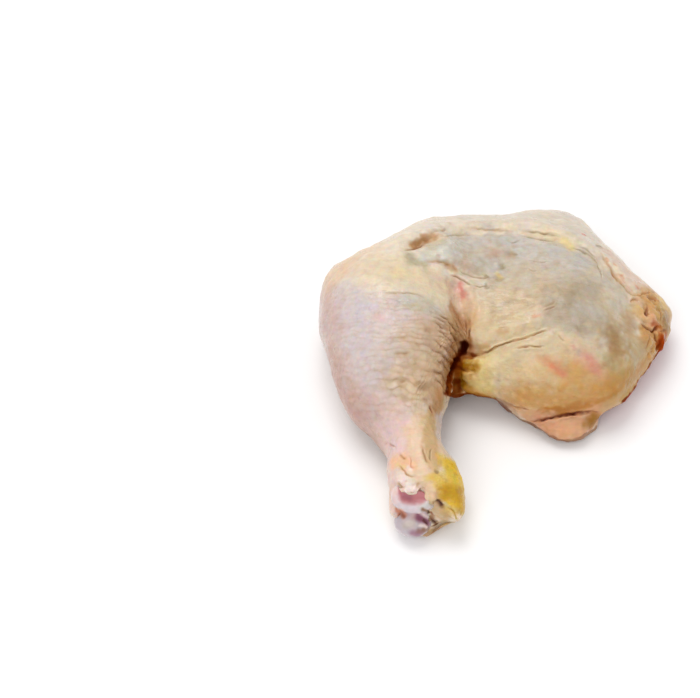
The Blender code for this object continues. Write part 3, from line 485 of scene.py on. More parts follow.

# Colour fields of the skin, laid one over another: tint, cover, radius in millimetres, softness of
# the edge, and the line that the field follows in the photograph. Some are painted shade: the olive
# shadows, the fold shade by the knee's dent and the crevice, the drumstick's outer side and the roll's
# underside. The pale cream and pearl ones are partly a painted highlight and sheen.
FIELDS = (
    ("band", 0.95, 9, 0.35, ((440, 222), (480, 218), (520, 216), (560, 218), (580, 228))),
    ("pale_cream_and_highlight", 0.7, 4, 0.7, ((425, 224), (440, 225), (456, 223))),
    ("grey_band", 0.6, 6, 0.5, ((550, 222), (575, 230), (600, 250))),
    ("grey", 0.95, 13, 0.45, ((480, 255), (510, 268), (540, 280), (570, 290), (600, 300))),
    ("grey", 0.9, 8, 0.4, ((560, 250), (590, 268), (610, 290), (620, 315))),
    ("blue_grey", 0.85, 5, 0.5, ((462, 243), (490, 240), (520, 240))),
    ("blue_grey", 0.85, 7, 0.5, ((530, 252), (555, 252), (575, 260))),
    ("blue_grey", 0.6, 7, 0.6, ((480, 262), (495, 265))),
    ("sand", 0.75, 8, 0.6, ((495, 300), (515, 310), (530, 325))),
    ("sand", 0.8, 7, 0.6, ((480, 300), (483, 320), (495, 335))),
    ("tan", 0.22, 9, 0.9, ((500, 318), (525, 306), (550, 296))),
    ("peach", 0.7, 5, 0.5, ((436, 280), (450, 290), (462, 305))),
    ("peach", 0.8, 4, 0.5, ((465, 300), (468, 315), (472, 330))),
    ("pale_cream_and_highlight", 0.5, 2.4, 0.6, ((480, 292), (481, 305), (484, 318))),
    ("tan", 0.22, 5, 0.95, ((478, 306), (480, 318), (482, 328))),
    ("straw", 0.9, 6, 0.5, ((485, 338), (500, 335), (520, 328))),
    ("violet_grey", 0.55, 6, 0.9, ((560, 300), (572, 292), (590, 290))),
    ("violet_grey", 0.65, 8, 0.8, ((565, 310), (582, 318), (592, 326))),
    ("blue_grey", 0.45, 3.4, 0.9, ((582, 308), (592, 312), (600, 320))),
    ("violet_grey", 0.4, 4.4, 0.9, ((555, 318), (565, 330), (580, 336))),
    ("violet_grey", 0.4, 2.2, 0.9, ((574, 288), (573, 296))),
    ("grey_band", 0.6, 4, 0.6, ((590, 345), (605, 352))),
    ("sand", 0.7, 6, 0.6, ((612, 300), (622, 318), (632, 345))),
    ("grey_band", 0.5, 4, 0.6, ((602, 275), (613, 290), (620, 300))),
    ("olive_shade", 0.5, 5, 0.6, ((612, 370), (622, 378), (632, 368))),
    ("brown_pink", 0.6, 2.2, 0.95, ((488, 250), (491, 253))),
    ("brown_pink", 0.65, 2.4, 0.95, ((496, 253), (503, 251), (506, 254))),
    ("brown_pink", 0.4, 4, 0.6, ((460, 252), (464, 262), (470, 270))),
    ("olive", 0.6, 1.4, 0.95, ((511, 254), (513, 255))),
    ("olive_spot", 0.8, 1.5, 0.8, ((501.5, 265), (502, 267))),
    ("olive", 0.5, 1.2, 0.8, ((498, 275), (499, 278))),
    ("olive_spot", 0.6, 0.9, 0.7, ((486, 275), (487, 277))),
    ("olive_spot", 0.6, 0.8, 0.7, ((486, 284), (487, 287))),
    ("butter", 0.5, 1.2, 0.6, ((497, 273), (500, 276))),
    ("olive_spot", 0.35, 1.0, 0.9, ((572, 292), (573, 294))),
    ("olive_spot", 0.5, 1.2, 0.9, ((577, 328), (579, 330))),
    ("salmon", 0.5, 0.8, 0.9, ((533, 316.5), (540, 315.5))),
    ("warm_cream", 0.5, 3, 0.8, ((545, 233), (562, 238), (572, 246))),
    ("butter", 0.6, 1.5, 0.8, ((564, 241), (568, 244), (570, 247))),
    ("straw", 0.6, 0.9, 0.8, ((522, 234), (540, 236), (558, 238.5))),
    ("straw", 0.35, 1.4, 0.8, ((560, 254), (570, 255))),
    ("olive_spot", 0.7, 1.2, 0.6, ((598, 246), (601, 247))),
    ("red", 0.6, 0.7, 0.7, ((583, 234), (585, 235))),
    ("strip_pink", 0.85, 4.4, 0.5, ((610, 254), (624, 268), (640, 284), (652, 292))),
    ("salmon", 0.3, 0.9, 0.9, ((619, 276), (626, 285), (632, 292))),
    ("salmon", 0.5, 0.6, 0.7, ((607, 259), (608, 261))),
    ("salmon", 0.5, 0.6, 0.7, ((614, 264), (616, 265))),
    ("salmon", 0.5, 0.6, 0.7, ((622, 276), (623, 278))),
    ("salmon", 0.5, 0.6, 0.7, ((636, 286), (638, 288))),
    ("hip_pale", 0.85, 6, 0.6, ((645, 310), (655, 300), (662, 320), (655, 345), (645, 350))),
    ("strip_pink", 0.6, 1.8, 0.8, ((638, 300), (643, 304))),
    ("hip_fat", 0.5, 2.6, 0.9, ((647, 303), (652, 309))),
    ("apricot", 0.7, 2.8, 0.7, ((652, 316), (652, 324))),
    ("butter", 0.7, 2.0, 0.8, ((660, 299), (664, 308))),
    ("brown_pink", 0.8, 1.4, 0.8, ((666, 312), (667, 330))),
    ("olive", 0.55, 3.4, 0.95, ((664, 312), (665.5, 322), (665, 331))),
    ("amber", 0.85, 1.5, 0.8, ((650, 298), (656, 299))),
    ("hip_fat", 0.8, 2.4, 0.8, ((645, 331), (647, 345))),
    ("amber", 0.6, 1.6, 0.8, ((643, 343), (643, 360))),
    ("honey", 0.6, 2.2, 0.8, ((653, 350), (651, 361))),
    ("olive_shade", 0.7, 5, 0.8, ((641, 350), (636, 362), (629, 378))),
    # Painted shade along the roll's lower right edge.
    ("shank_olive", 0.4, 4, 0.9, ((648, 352), (640, 368), (628, 386))),
    ("deep_tan_shade", 0.55, 3.4, 0.8, ((656, 356), (646, 370), (634, 384), (618, 398))),
    ("straw", 0.95, 12, 0.3, ((490, 368), (515, 365), (540, 360), (575, 362))),
    ("straw", 0.9, 10, 0.4, ((500, 382), (540, 385), (585, 380), (615, 378))),
    # Partly painted shade on the roll's underside, which turns from the light.
    ("tan", 0.8, 6.5, 0.6, ((515, 398), (545, 402), (580, 400), (605, 393), (624, 380))),
    ("deep_tan_shade", 0.9, 2.8, 0.7, ((545, 413), (575, 409), (600, 405), (615, 398))),
    ("tan", 0.3, 6, 0.9, ((530, 380), (550, 376), (568, 374))),
    ("old_gold", 0.4, 5, 0.9, ((632, 378), (618, 392))),
    ("tan", 0.65, 6, 0.7, ((575, 375), (592, 378), (610, 382))),
    ("butter", 0.8, 5, 0.6, ((474, 362), (482, 372), (484, 386))),
    ("butter", 0.5, 5, 0.6, ((490, 360), (498, 372))),
    ("pale_cream_and_highlight", 0.35, 4, 0.7, ((494, 362), (498, 378), (506, 390))),
    ("salmon", 0.35, 1.7, 0.9, ((538, 357), (546, 361))),
    ("salmon", 0.75, 1.2, 0.9, ((553, 366), (560, 370), (562, 375))),
    ("salmon", 0.4, 2.6, 0.95, ((550, 362), (558, 370))),
    ("salmon", 0.35, 2.6, 0.95, ((584, 356), (596, 369))),
    ("red", 0.35, 1.6, 0.95, ((588, 357), (593, 363), (596, 369))),
    ("rose", 0.4, 3, 0.95, ((578, 350), (588, 360), (600, 372))),
    ("red", 0.35, 0.6, 0.7, ((573, 346), (576, 349))),
    ("apricot", 0.95, 6, 0.35, ((540, 426), (560, 430), (580, 426), (595, 418))),
    ("salmon", 0.3, 3, 0.7, ((540, 425), (552, 432))),
    ("umber", 0.8, 2.6, 0.8, ((591, 423), (595, 420))),
    ("old_gold", 0.75, 2.2, 0.9, ((593, 422.5), (596, 420))),
    ("apricot", 0.5, 3, 0.6, ((512, 408), (528, 414))),
    ("apricot_edge", 0.6, 4, 0.6, ((340, 275), (352, 258), (375, 244), (400, 226), (420, 217))),
    ("peach", 0.4, 4, 0.6, ((350, 270), (368, 268))),
    ("peach", 0.6, 5, 0.9, ((326, 288), (334, 272), (350, 260))),
    ("warm_cream", 0.7, 8, 0.6, ((385, 268), (410, 272), (428, 286))),
    ("butter", 0.25, 3, 0.7, ((398, 272), (405, 274))),
    ("pale_cream_and_highlight", 0.5, 4, 0.6, ((388, 252), (404, 240), (425, 230))),
    ("olive_shade", 0.75, 2.6, 0.6, ((410, 256), (416, 261), (424, 263))),
    ("amber", 0.85, 1.5, 0.8, ((413, 245.5), (420, 242), (428, 238.5), (434, 237))),
    ("peach", 0.6, 1.3, 0.8, ((430, 238), (438, 235.5))),
    ("pearl", 0.9, 4.2, 0.4, ((428, 257), (441, 253), (450, 248))),
    ("pearl", 0.8, 2.6, 0.5, ((455, 242), (458, 255))),
    ("olive_shade", 0.4, 2.4, 0.6, ((430, 247), (440, 243))),
    ("amber", 0.4, 1.4, 0.6, ((446, 266), (455, 270))),
    ("red", 0.25, 2.4, 0.95, ((458, 284), (461, 294))),
    ("red", 0.5, 0.9, 0.95, ((460, 284), (462, 290), (463, 296))),
    ("amber", 0.6, 2.6, 0.95, ((454, 312), (460, 322), (464, 336))),
    ("rust", 0.25, 1.8, 0.95, ((451, 309), (455, 314), (460, 322), (465, 326))),
    ("amber", 0.45, 1.2, 0.9, ((469, 325), (469, 334), (469, 342))),
    ("amber", 0.3, 2.6, 0.7, ((474, 345), (482, 349))),
    ("lilac_blue", 0.3, 5, 0.9, ((343, 290), (352, 296), (366, 300))),
    ("sea_grey", 0.6, 3.2, 0.6, ((405, 299), (420, 303), (432, 309))),
    ("lilac_blue", 0.35, 5, 0.9, ((372, 378), (384, 392))),
    ("lilac_blue", 0.25, 9, 0.6, ((345, 318), (362, 340), (378, 362))),
    ("rose", 0.35, 1.8, 0.8, ((376, 315), (381, 318))),
    ("lilac_blue", 0.5, 2.0, 0.8, ((372, 382), (377, 386))),
    # Painted shade on the drumstick's outer side, which turns from the light, over its pinker skin.
    ("drum_edge_and_shade", 0.65, 10, 0.9,
     ((318, 300), (318, 315), (318, 330), (326, 360), (338, 388), (355, 412), (375, 437))),
    ("drum_edge_and_shade", 0.5, 6, 0.9, ((326, 300), (328, 320), (331, 342), (337, 362))),
    ("drum_edge_and_shade", 0.55, 5, 0.9,
     ((318, 300), (318, 315), (318, 330), (326, 360), (338, 388), (355, 412))),
    ("rose", 0.2, 8, 0.7, ((380, 395), (395, 415), (398, 435))),
    ("low_cream", 0.6, 6, 0.6, ((405, 380), (418, 396), (425, 412))),
    ("sea_grey", 0.4, 3.4, 0.6, ((412, 401), (430, 404))),
    # Partly painted shade: the orange-brown of the tight folds by the crevice.
    ("fold_skin_and_shade", 0.8, 4.6, 0.8, ((452, 326), (455, 340), (450, 360), (444, 380), (440, 398))),
    ("fold_skin_and_shade", 0.58, 8, 0.9, ((434, 336), (434, 360), (428, 385))),
    ("olive_shade", 0.3, 5, 0.9, ((430, 308), (442, 318), (448, 330))),
    ("olive_shade", 0.3, 4, 0.9, ((424, 356), (434, 366), (438, 376))),
    ("low_cream", 0.5, 8, 0.8, ((412, 345), (410, 370), (408, 390))),
    ("umber", 0.45, 1.6, 0.9, ((457, 338), (455, 352), (448, 370), (443, 386))),
    ("amber", 0.5, 2.4, 0.7, ((438, 395), (438, 405), (432, 412))),
    ("shank_pink", 0.8, 7, 0.5, ((388, 436), (392, 455), (392, 472))),
    ("shank_pink", 0.8, 6, 0.5, ((402, 422), (406, 440), (409, 452))),
    ("shank_cream", 0.85, 3.4, 0.5, ((419, 418), (418, 445), (420, 472), (426, 485))),
    ("peach", 0.5, 3, 0.9, ((410, 432), (412, 445), (412, 458))),
    ("shank_olive", 0.85, 3.0, 0.5, ((430, 420), (431, 440), (433, 466))),
    ("shank_cream", 0.4, 2.4, 0.6, ((441, 428), (444, 452))),
    ("shank_cream", 0.7, 3.2, 0.7, ((424, 470), (428, 482))),
    ("shank_orange", 0.85, 2.8, 0.6, ((394, 461), (403, 462), (410, 467))),
    ("butter", 0.5, 1.0, 0.7, ((398, 464), (404, 468))),
    ("white_fat", 0.6, 1.1, 0.7, ((409, 468), (411, 470))),
    ("shank_pink", 0.75, 2.4, 0.6, ((391, 495), (392, 505), (396, 513))),
    ("scale_yellow", 0.95, 4.6, 0.4, ((452, 467), (455, 476), (456, 492))),
    ("scale_yellow", 0.95, 4.0, 0.35, ((457, 469), (460.5, 480), (462, 492), (462, 504))),
    ("scale_pale", 0.95, 3.6, 0.45, ((437, 480), (441, 487))),
    ("scale_pale", 0.6, 2.4, 0.8, ((445, 478), (449, 484))),
    ("scale_green", 0.5, 1.3, 0.9, ((450, 471), (454, 477), (456, 482))),
    ("scale_yellow", 0.95, 2.6, 0.35, ((450, 500), (459, 506), (461, 514))),
    ("mustard", 0.85, 2.4, 0.8, ((441, 493), (450, 491), (461, 492))),
    ("mustard", 0.7, 2.2, 0.9, ((440, 498), (448, 498), (460, 500))),
    ("mustard", 0.85, 1.6, 0.8, ((459, 511), (461, 518))),
    ("shank_orange", 0.7, 0.8, 0.8, ((457, 519.5), (458.5, 521))),
    ("olive_spot", 0.7, 0.7, 0.8, ((435, 471), (437, 472))),
    ("olive_shade", 0.4, 1.6, 0.9, ((425, 488), (430, 492), (433, 498))),
    ("white_fat", 0.95, 2.6, 0.6, ((403, 483), (410, 487), (415, 491))),
    ("white_fat", 0.8, 1.8, 0.8, ((412, 486), (418, 487), (424, 488))),
    ("shank_cream", 0.9, 2.2, 0.6, ((430, 488), (434, 494), (435, 500))),
    ("shank_cream", 0.6, 1.8, 0.6, ((418, 482), (425, 487), (430, 494))),
    ("tissue", 0.95, 3.6, 0.45, ((437, 508), (446, 514), (452, 518), (440, 520))),
    ("umber", 0.25, 1.6, 0.9, ((443, 510), (446, 517))),
    ("scale_pale", 0.4, 2, 0.9, ((446, 510), (452, 514))),
    ("white_fat", 0.8, 1.7, 0.7, ((452, 524), (458, 518), (461, 523))),
    ("white_fat", 0.5, 1.0, 0.7, ((431, 518), (436, 521))),
    ("salmon", 0.8, 1.3, 0.6, ((399, 509), (402, 514))),
    ("rust", 0.6, 0.7, 0.8, ((401, 515), (403, 516.5))),
    ("old_gold", 0.55, 1.8, 0.8, ((469, 368), (474, 368))),
    ("apricot", 0.4, 4, 0.9, ((449, 334), (450, 346))),
    ("apricot", 0.3, 4, 0.9, ((438, 374), (437, 386))),
)

# Colour fields of the hidden sides, where the photograph shows nothing: the line is in millimetres.
SIDE_FIELDS = (
    ("lilac", 0.8, 14, 0.5, ((-70, 20, 8), (-66, -8, 8), (-60, -28, 8))),
    ("rose", 0.35, 8, 0.6, ((-66, -12, 4), (-56, -34, 4))),
    ("band", 0.8, 14, 0.5, ((-40, 62, 10), (0, 74, 14), (36, 74, 12))),
    ("peach", 0.4, 9, 0.6, ((-20, 72, 6), (10, 76, 5), (34, 76, 4))),
    ("warm_cream", 0.6, 9, 0.6, ((-60, 44, 8), (-40, 60, 6))),
    ("strip_pink", 0.7, 9, 0.5, ((46, 66, 14), (58, 50, 14), (68, 36, 12))),
    ("butter", 0.4, 6, 0.7, ((44, 68, 6), (56, 54, 5))),
    ("shank_pink", 0.5, 9, 0.6, ((-30, -40, 2), (-30, -62, 2))),
    ("low_cream", 0.75, 11, 0.9, ((-17, 0, 9), (-20, -22, 8), (-21, -42, 7))),
    ("peach", 0.4, 7, 0.9, ((-16, 2, 6), (-19, -20, 5))),
    ("shank_cream", 0.5, 8, 0.9, ((-18, -42, 4), (-16, -54, 4))),
    ("scale_pale", 0.55, 9, 0.95, ((-12.5, -56, 6), (-12, -65, 5), (-13.5, -73, 5))),
    ("scale_yellow", 0.75, 5, 0.95, ((-12.5, -58, 5), (-12, -66, 4.5), (-13.5, -73, 4.5))),
    ("hip_pale", 0.6, 9, 0.95, ((60, -2, 14), (66, 12, 14), (69, 26, 14), (70, 36, 16))),
    ("strip_pink", 0.5, 6, 0.95, ((66, 20, 10), (69, 34, 11))),
)

# Fields that lie over the folds: the crevice behind the knee, with its fat, and dark places at the hip
# and the knuckle. Their darkest tints are painted shade in those recesses.
DEEP_FIELDS = (
    ("olive", 0.5, 4.6, 0.98, ((615, 331), (617, 344), (614, 357))),
    ("olive", 0.45, 2.8, 0.98, ((616, 336), (617, 350))),
    ("umber", 0.3, 3.0, 0.98, ((616, 338), (616, 352))),
    ("umber", 0.4, 3.0, 0.98, ((628, 320), (630, 334))),
    ("olive_shade", 0.4, 3.4, 0.98, ((611, 362), (620, 369))),
    ("amber", 0.35, 1.2, 0.95, ((499, 332), (507, 331))),
    ("rust", 0.3, 2.2, 0.98, ((469, 346), (471, 351), (476, 354))),
    ("toffee", 0.9, 2.5, 0.7, ((461, 363), (457, 374), (456, 387))),
    ("toffee", 0.85, 1.2, 0.8, ((452, 374), (450, 384), (450, 391))),
    ("toffee", 0.6, 1.0, 0.9, ((463, 357), (471, 357))),
    ("honey", 0.7, 0.7, 0.9, ((464, 361), (471, 361), (478, 361))),
    ("old_gold", 0.85, 1.8, 0.95, ((465, 366.5), (473, 366.5))),
    ("crevice", 0.7, 0.8, 0.9, ((457, 367), (463, 369.7), (467, 369))),
    # A painted highlight along the lit ridge of fat.
    ("peach", 0.5, 0.9, 0.95, ((466, 372), (471, 373), (476, 375))),
    ("honey", 0.6, 3.0, 0.95, ((466, 374), (468, 386))),
    ("old_gold", 0.5, 1.6, 0.95, ((462, 376), (463, 384))),
    ("amber", 0.35, 1.0, 0.95, ((453, 378), (458, 377.5))),
    ("crevice", 0.55, 1.2, 0.95, ((458, 380.5), (460, 385), (459, 390))),
    ("crevice", 0.5, 0.7, 0.95, ((450, 381.5), (455, 382), (462, 381))),
    ("crevice", 0.4, 0.9, 0.95, ((452, 385), (453, 391))),
    ("amber", 0.3, 0.9, 0.95, ((455.5, 386), (456, 391))),
    ("old_gold", 0.8, 1.6, 0.95, ((463.5, 380), (465, 385), (466, 390))),
    ("tan", 0.6, 1.8, 0.95, ((468, 389), (480, 390), (492, 394))),
    ("crevice", 0.8, 1.0, 0.9, ((462, 353), (458, 358), (454.5, 364.5), (452.5, 370), (451, 377))),
    ("pit", 0.9, 1.1, 0.7, ((463.8, 343), (464, 347), (463, 351))),
    ("pit", 0.65, 0.6, 0.9, ((462, 353), (458, 358), (454.5, 364.5), (452.5, 369), (451.5, 373))),
    ("crevice", 0.7, 0.7, 0.9, ((451.5, 373), (450, 379), (448, 386))),
    ("pit", 0.6, 0.8, 0.9, ((448, 387), (446.5, 391))),
    ("crevice", 0.35, 1.3, 0.95, ((469, 345), (470, 350), (473, 354))),
    ("crevice", 0.4, 0.5, 0.95, ((471.5, 354.3), (475, 355.3))),
    ("crevice", 0.5, 0.6, 0.6, ((653, 330), (656, 328.5))),
    ("hip_fat", 0.7, 1.8, 0.8, ((653, 335), (655, 343))),
    ("apricot", 0.6, 1.6, 0.9, ((658, 331), (663, 333))),
    ("hip_red", 0.5, 1.0, 0.9, ((654, 324), (660, 327))),
    ("hip_red", 0.95, 2.8, 0.6, ((662, 340), (662, 345))),
    ("hip_red", 0.8, 1.8, 0.9, ((665, 337), (664.5, 343))),
    ("rust", 0.4, 1.2, 0.9, ((659, 341), (661, 347))),
    ("crevice", 0.45, 0.9, 0.9, ((659, 344), (657, 350))),
    ("pit", 0.75, 0.7, 0.9, ((432, 521), (434, 524.5))),
    ("pit", 0.6, 0.5, 0.9, ((434, 528), (437.5, 527.5))),
    ("pit", 0.75, 0.8, 0.8, ((437.5, 501.5), (440.5, 504.5))),
    ("fold_shade_brown", 0.7, 0.7, 0.9, ((430, 517), (432, 519))),
    ("rust", 0.6, 0.5, 0.9, ((431, 512), (432.5, 514.5))),
)

# Painted shade laid along lines as the photograph's camera sees them, on walls that it hardly sees
# too: the crevice's depth with its fat and the dark lower edges, while the mustard stroke is the scaly
# skin's own yellow. Each: tint, cover, half width in pixels, how much a point must face the camera (-1
# is not at all) and the line.
STROKES = (
    ("toffee", 0.9, 5.0, -0.9, ((459, 366), (457, 376), (456, 391))),
    ("crevice", 0.9, 2.6, -0.9,
     ((464, 343), (463, 350), (459, 357), (455, 364), (452.5, 371), (450.5, 380), (448, 392))),
    ("crevice", 0.85, 3.4, -0.9, ((446, 393), (452, 395), (458, 396.5), (463, 396), (468, 394))),
    ("crevice", 0.75, 3.2, -0.9,
     ((462, 396), (470, 394), (480, 395.5), (490, 399), (500, 404), (510, 412))),
    ("fold_shade_brown", 0.6, 2.6, 0.0,
     ((505, 409), (515, 417), (530, 425), (545, 434), (558, 440), (572, 441), (590, 433), (598, 427))),
    ("shank_olive", 0.75, 10.0, 0.0, ((662, 350), (654, 363), (643, 380), (629, 395), (606, 408))),
    ("rust", 0.85, 2.8, 0.0,
     ((660, 351), (653, 363), (645.5, 375), (638, 385), (630, 396), (624, 402))),
    ("umber", 0.5, 4.0, 0.0, ((426, 534), (434, 532), (441, 530))),
    ("mustard", 0.5, 3.0, 0.0, ((461, 488), (464, 500), (464, 512))),
)

# The knuckle's fields: tint, cover, radius, softness, height in millimetres, line in the photograph.
# The rust, pit and brown ones are painted shade in its notches and under its flaps of fat.
KNUCKLE_FIELDS = (
    ("cartilage_blue", 0.85, 5, 0.5, 0.0, ((400, 520), (412, 528), (425, 530))),
    ("cartilage", 0.9, 2.2, 0.6, 0.35,
     ((395, 487), (395, 499), (402, 507), (414, 510), (425, 507), (433, 500))),
    ("shank_pink", 0.8, 1.6, 0.95, 0.0, ((394, 483), (393, 492), (395, 501))),
    ("peach", 0.3, 1.2, 0.95, 0.0, ((396, 484), (396, 492))),
    ("white_fat", 0.5, 1.6, 0.8, -1.4, ((404, 484), (412, 484.5), (420, 485.5), (427, 488))),
    ("shank_cream", 0.7, 2.0, 0.8, -1.4, ((431, 488), (435, 494), (436.5, 500))),
    ("sea_grey", 0.6, 1.6, 0.9, -0.2, ((422, 506), (430, 504), (434, 500))),
    ("shank_cream", 0.8, 1.5, 0.8, -1.3, ((428.5, 493), (431, 498), (433, 501))),
    ("cup_rose", 0.95, 2.3, 0.5, -0.9, ((403, 491), (406, 496.5), (414, 498), (422, 496))),
    ("cup_rose", 0.9, 1.3, 0.6, -0.3, ((401, 487), (402, 493))),
    ("purple", 0.35, 1.0, 0.9, -0.1, ((401, 492), (405, 497), (410, 499))),
    ("rust", 0.6, 0.7, 0.9, -0.2, ((404, 489), (408, 491.5), (411, 494.5))),
    ("rust", 0.7, 0.8, 0.9, -0.3, ((417, 491), (420, 490.5), (424, 491.5))),
    ("purple", 0.25, 1.2, 0.95, 0.0, ((404, 513), (411, 515), (417, 514))),
    ("lilac", 0.5, 1.6, 0.9, 0.0, ((412, 517), (408, 522), (414, 526))),
    ("olive_shade", 0.3, 1.2, 0.9, 0.0, ((405, 526), (412, 523))),
    ("rose", 0.5, 1.4, 0.8, -0.2, ((415, 516), (420, 515))),
    ("purple", 0.9, 1.7, 0.8, -0.6, ((420, 517.5), (424, 519), (428, 522))),
    ("pit", 0.45, 0.7, 0.9, -0.3, ((425, 520), (428, 523.5))),
    ("purple", 0.5, 1.4, 0.9, 0.0, ((413, 533), (419, 535))),
    ("rust", 0.4, 1.0, 0.95, 0.0, ((419, 531), (424, 532))),
    ("fold_shade_brown", 0.5, 0.9, 0.9, -0.2, ((424, 529), (432, 530))),
    ("white_fat", 0.8, 0.7, 0.8, 0.2, ((420, 525), (424, 525.5), (427, 527))),
    ("salmon", 0.8, 1.3, 0.9, 0.0, ((401, 510), (403.5, 514))),
    ("rust", 0.5, 0.7, 0.9, 0.0, ((402, 514), (404, 516.5))),
    ("fold_shade_brown", 0.8, 0.7, 0.9, -0.3, ((423, 509.5), (427, 511), (430, 512))),
    ("white_fat", 0.8, 0.6, 0.8, 0.3, ((419, 512.5), (425, 515.5), (431, 519))),
)

# What shows faintly through the thigh's skin in patches: tint, cover, size in millimetres and seed.
MOTTLES = (
    ("brown_pink", 0.32, 3.2, 31),
    ("olive_shade", 0.28, 4.0, 32),
    ("blue_grey", 0.35, 5.0, 33),
    ("violet_grey", 0.22, 2.2, 34),
    ("pale_cream_and_highlight", 0.16, 2.6, 35),
)
# Where dark muscle lies close under the thigh's skin: radius in millimetres and a line.
MUSCLE_ZONES = (
    (20, ((480, 262), (520, 280), (560, 290), (595, 305))),
    (8, ((455, 245), (470, 262))),
    (9, ((600, 330), (615, 345))),
)

# Where the skin lies in fine wet wrinkles: radius in millimetres and a line in the photograph.
WRINKLED_ZONES = (
    (6, ((490, 291), (498, 303), (505, 313))),
    (6, ((512, 300), (524, 308))),
    (4.5, ((382, 289), (392, 295), (400, 300))),
)

# The deep places that stay dull, with no wet film: radius in millimetres and a line.
DULL_ZONES = (
    (3.2, ((460, 362), (458, 375), (457, 388))),
    (2.6, ((465, 342), (463, 352), (457, 360), (453, 370), (450, 382), (447, 392))),
    (1.4, ((466, 354), (474, 356), (484, 354))),
    (3.4, ((661, 334), (662, 346))),
)

# Dull walls that the photograph's camera hardly sees: half width in pixels, how much a point must face
# the camera and the line.
DULL_STROKES = (
    (9.0, -0.9, ((459, 362), (456, 376), (455, 392))),
    (5.0, -0.9, ((462, 396), (476, 394), (492, 399))),
    (5.0, 0.0, ((661, 352), (646, 374), (622, 402))),
)

# Where fat is ragged and where the shank's skin is scaly: radius in millimetres and a line.
RAGGED_ZONES = (
    (7, ((648, 302), (656, 316), (655, 345))),
    (2.2, ((403, 485), (410, 488), (417, 488))),
    (3.5, ((457, 366), (463, 376), (460, 386))),
)
SCALY_ZONES = ((5.5, ((450, 466), (448, 480), (452, 497), (460, 508))),)

# The wet bump of skin beside the knee's dent, in the photograph, and its radius in millimetres.
WET_BUMP = ((430, 256), (445, 252), (456, 250))
WET_BUMP_RADIUS = 5


def lens():
    """The lens, in millimetres, that shows PIXELS_PER_MM at the target."""
    return PIXELS_PER_MM * VIEW_DISTANCE * SENSOR / IMAGE_WIDTH


def camera_place():
    """Where the photograph's camera stands, in millimetres."""
    angle = math.radians(VIEW_ELEVATION)
    back = Vector((0, -math.cos(angle), math.sin(angle)))
    return VIEW_TARGET + back * VIEW_DISTANCE


def pixel_ray(x, y):
    """Where the photograph's camera looks through a pixel: a point and a direction, in millimetres."""
    angle = math.radians(VIEW_ELEVATION)
    ahead = Vector((0, math.cos(angle), -math.sin(angle)))
    up = Vector((0, math.sin(angle), math.cos(angle)))
    reach = PIXELS_PER_MM * VIEW_DISTANCE
    across, above = x - IMAGE_WIDTH / 2, IMAGE_HEIGHT / 2 - y
    return camera_place(), (ahead * reach + Vector((across, 0, 0)) + up * above).normalized()


def pixels_of(points):
    """Where the photograph shows points: pixels across and down."""
    angle = math.radians(VIEW_ELEVATION)
    ahead = np.array((0, math.cos(angle), -math.sin(angle)))
    up = np.array((0, math.sin(angle), math.cos(angle)))
    offset = points - np.array(camera_place())
    scale = PIXELS_PER_MM * VIEW_DISTANCE / (offset @ ahead)
    return IMAGE_WIDTH / 2 + offset[:, 0] * scale, IMAGE_HEIGHT / 2 - offset @ up * scale


def beside(pixels, line):
    """How many pixels beside a line each pixel lies, positive on the right hand of who walks it."""
    line = smooth_line(line, 3)
    nearest = np.full(len(pixels), np.inf)
    side = np.zeros(len(pixels))
    for start, way in zip(line, np.diff(line, axis=0)):
        along = np.clip((pixels - start) @ way / (way @ way), 0, 1)
        offset = pixels - start - along[:, None] * way
        distance = np.linalg.norm(offset, axis=1)
        nearer = distance < nearest - SAME
        nearest[nearer] = distance[nearer]
        side[nearer] = np.sign(way[0] * offset[:, 1] - way[1] * offset[:, 0])[nearer]
    return nearest * side


def ease(value, low, high):
    """0 below low, 1 above high, and a smooth rise between."""
    t = np.clip((value - low) / (high - low), 0, 1)
    return t * t * (3 - 2 * t)


def draw(column, row, seed):
    """A number between 0 and 1 for each cell of a grid, always the same for the same seed."""
    # The usual large odd factors scatter neighbouring cells.
    value = np.sin(column * 127.1 + row * 311.7 + seed * 74.7) * 43758.5453
    return value - np.floor(value)


def lumps(points, size, seed):
    """Soft noise between about -1 and 1 at points, with lumps of a size in millimetres."""
    offset = Vector((seed * 17.3, seed * 5.1, seed * 9.7))
    scaled = points / np.array(size)
    return np.array([noise.noise(Vector(p) + offset) for p in scaled]) * NOISE_REACH


def smooth_line(points, step):
    """A soft curve through flat points, read about every step."""
    points = np.array(points, float)
    ends = np.vstack([2 * points[0] - points[1], points, 2 * points[-1] - points[-2]])
    out = []
    for a, b, c, d in zip(ends, ends[1:], ends[2:], ends[3:]):
        count = max(1, int(np.linalg.norm(c - b) / step))
        for t in np.arange(count) / count:
            out.append(
                0.5 * (2 * b + (c - a) * t + (2 * a - 5 * b + 4 * c - d) * t**2
                       + (3 * b - a - 3 * c + d) * t**3)
            )
    out.append(points[-1])
    return np.array(out)


def coordinates(mesh):
    """A mesh's points and normals, in millimetres."""
    flat = np.empty(len(mesh.vertices) * 3, np.float32)
    mesh.vertices.foreach_get("co", flat)
    points = flat.reshape(-1, 3).astype(float) / MM
    mesh.vertex_normals.foreach_get("vector", flat)
    return points, flat.reshape(-1, 3).astype(float)


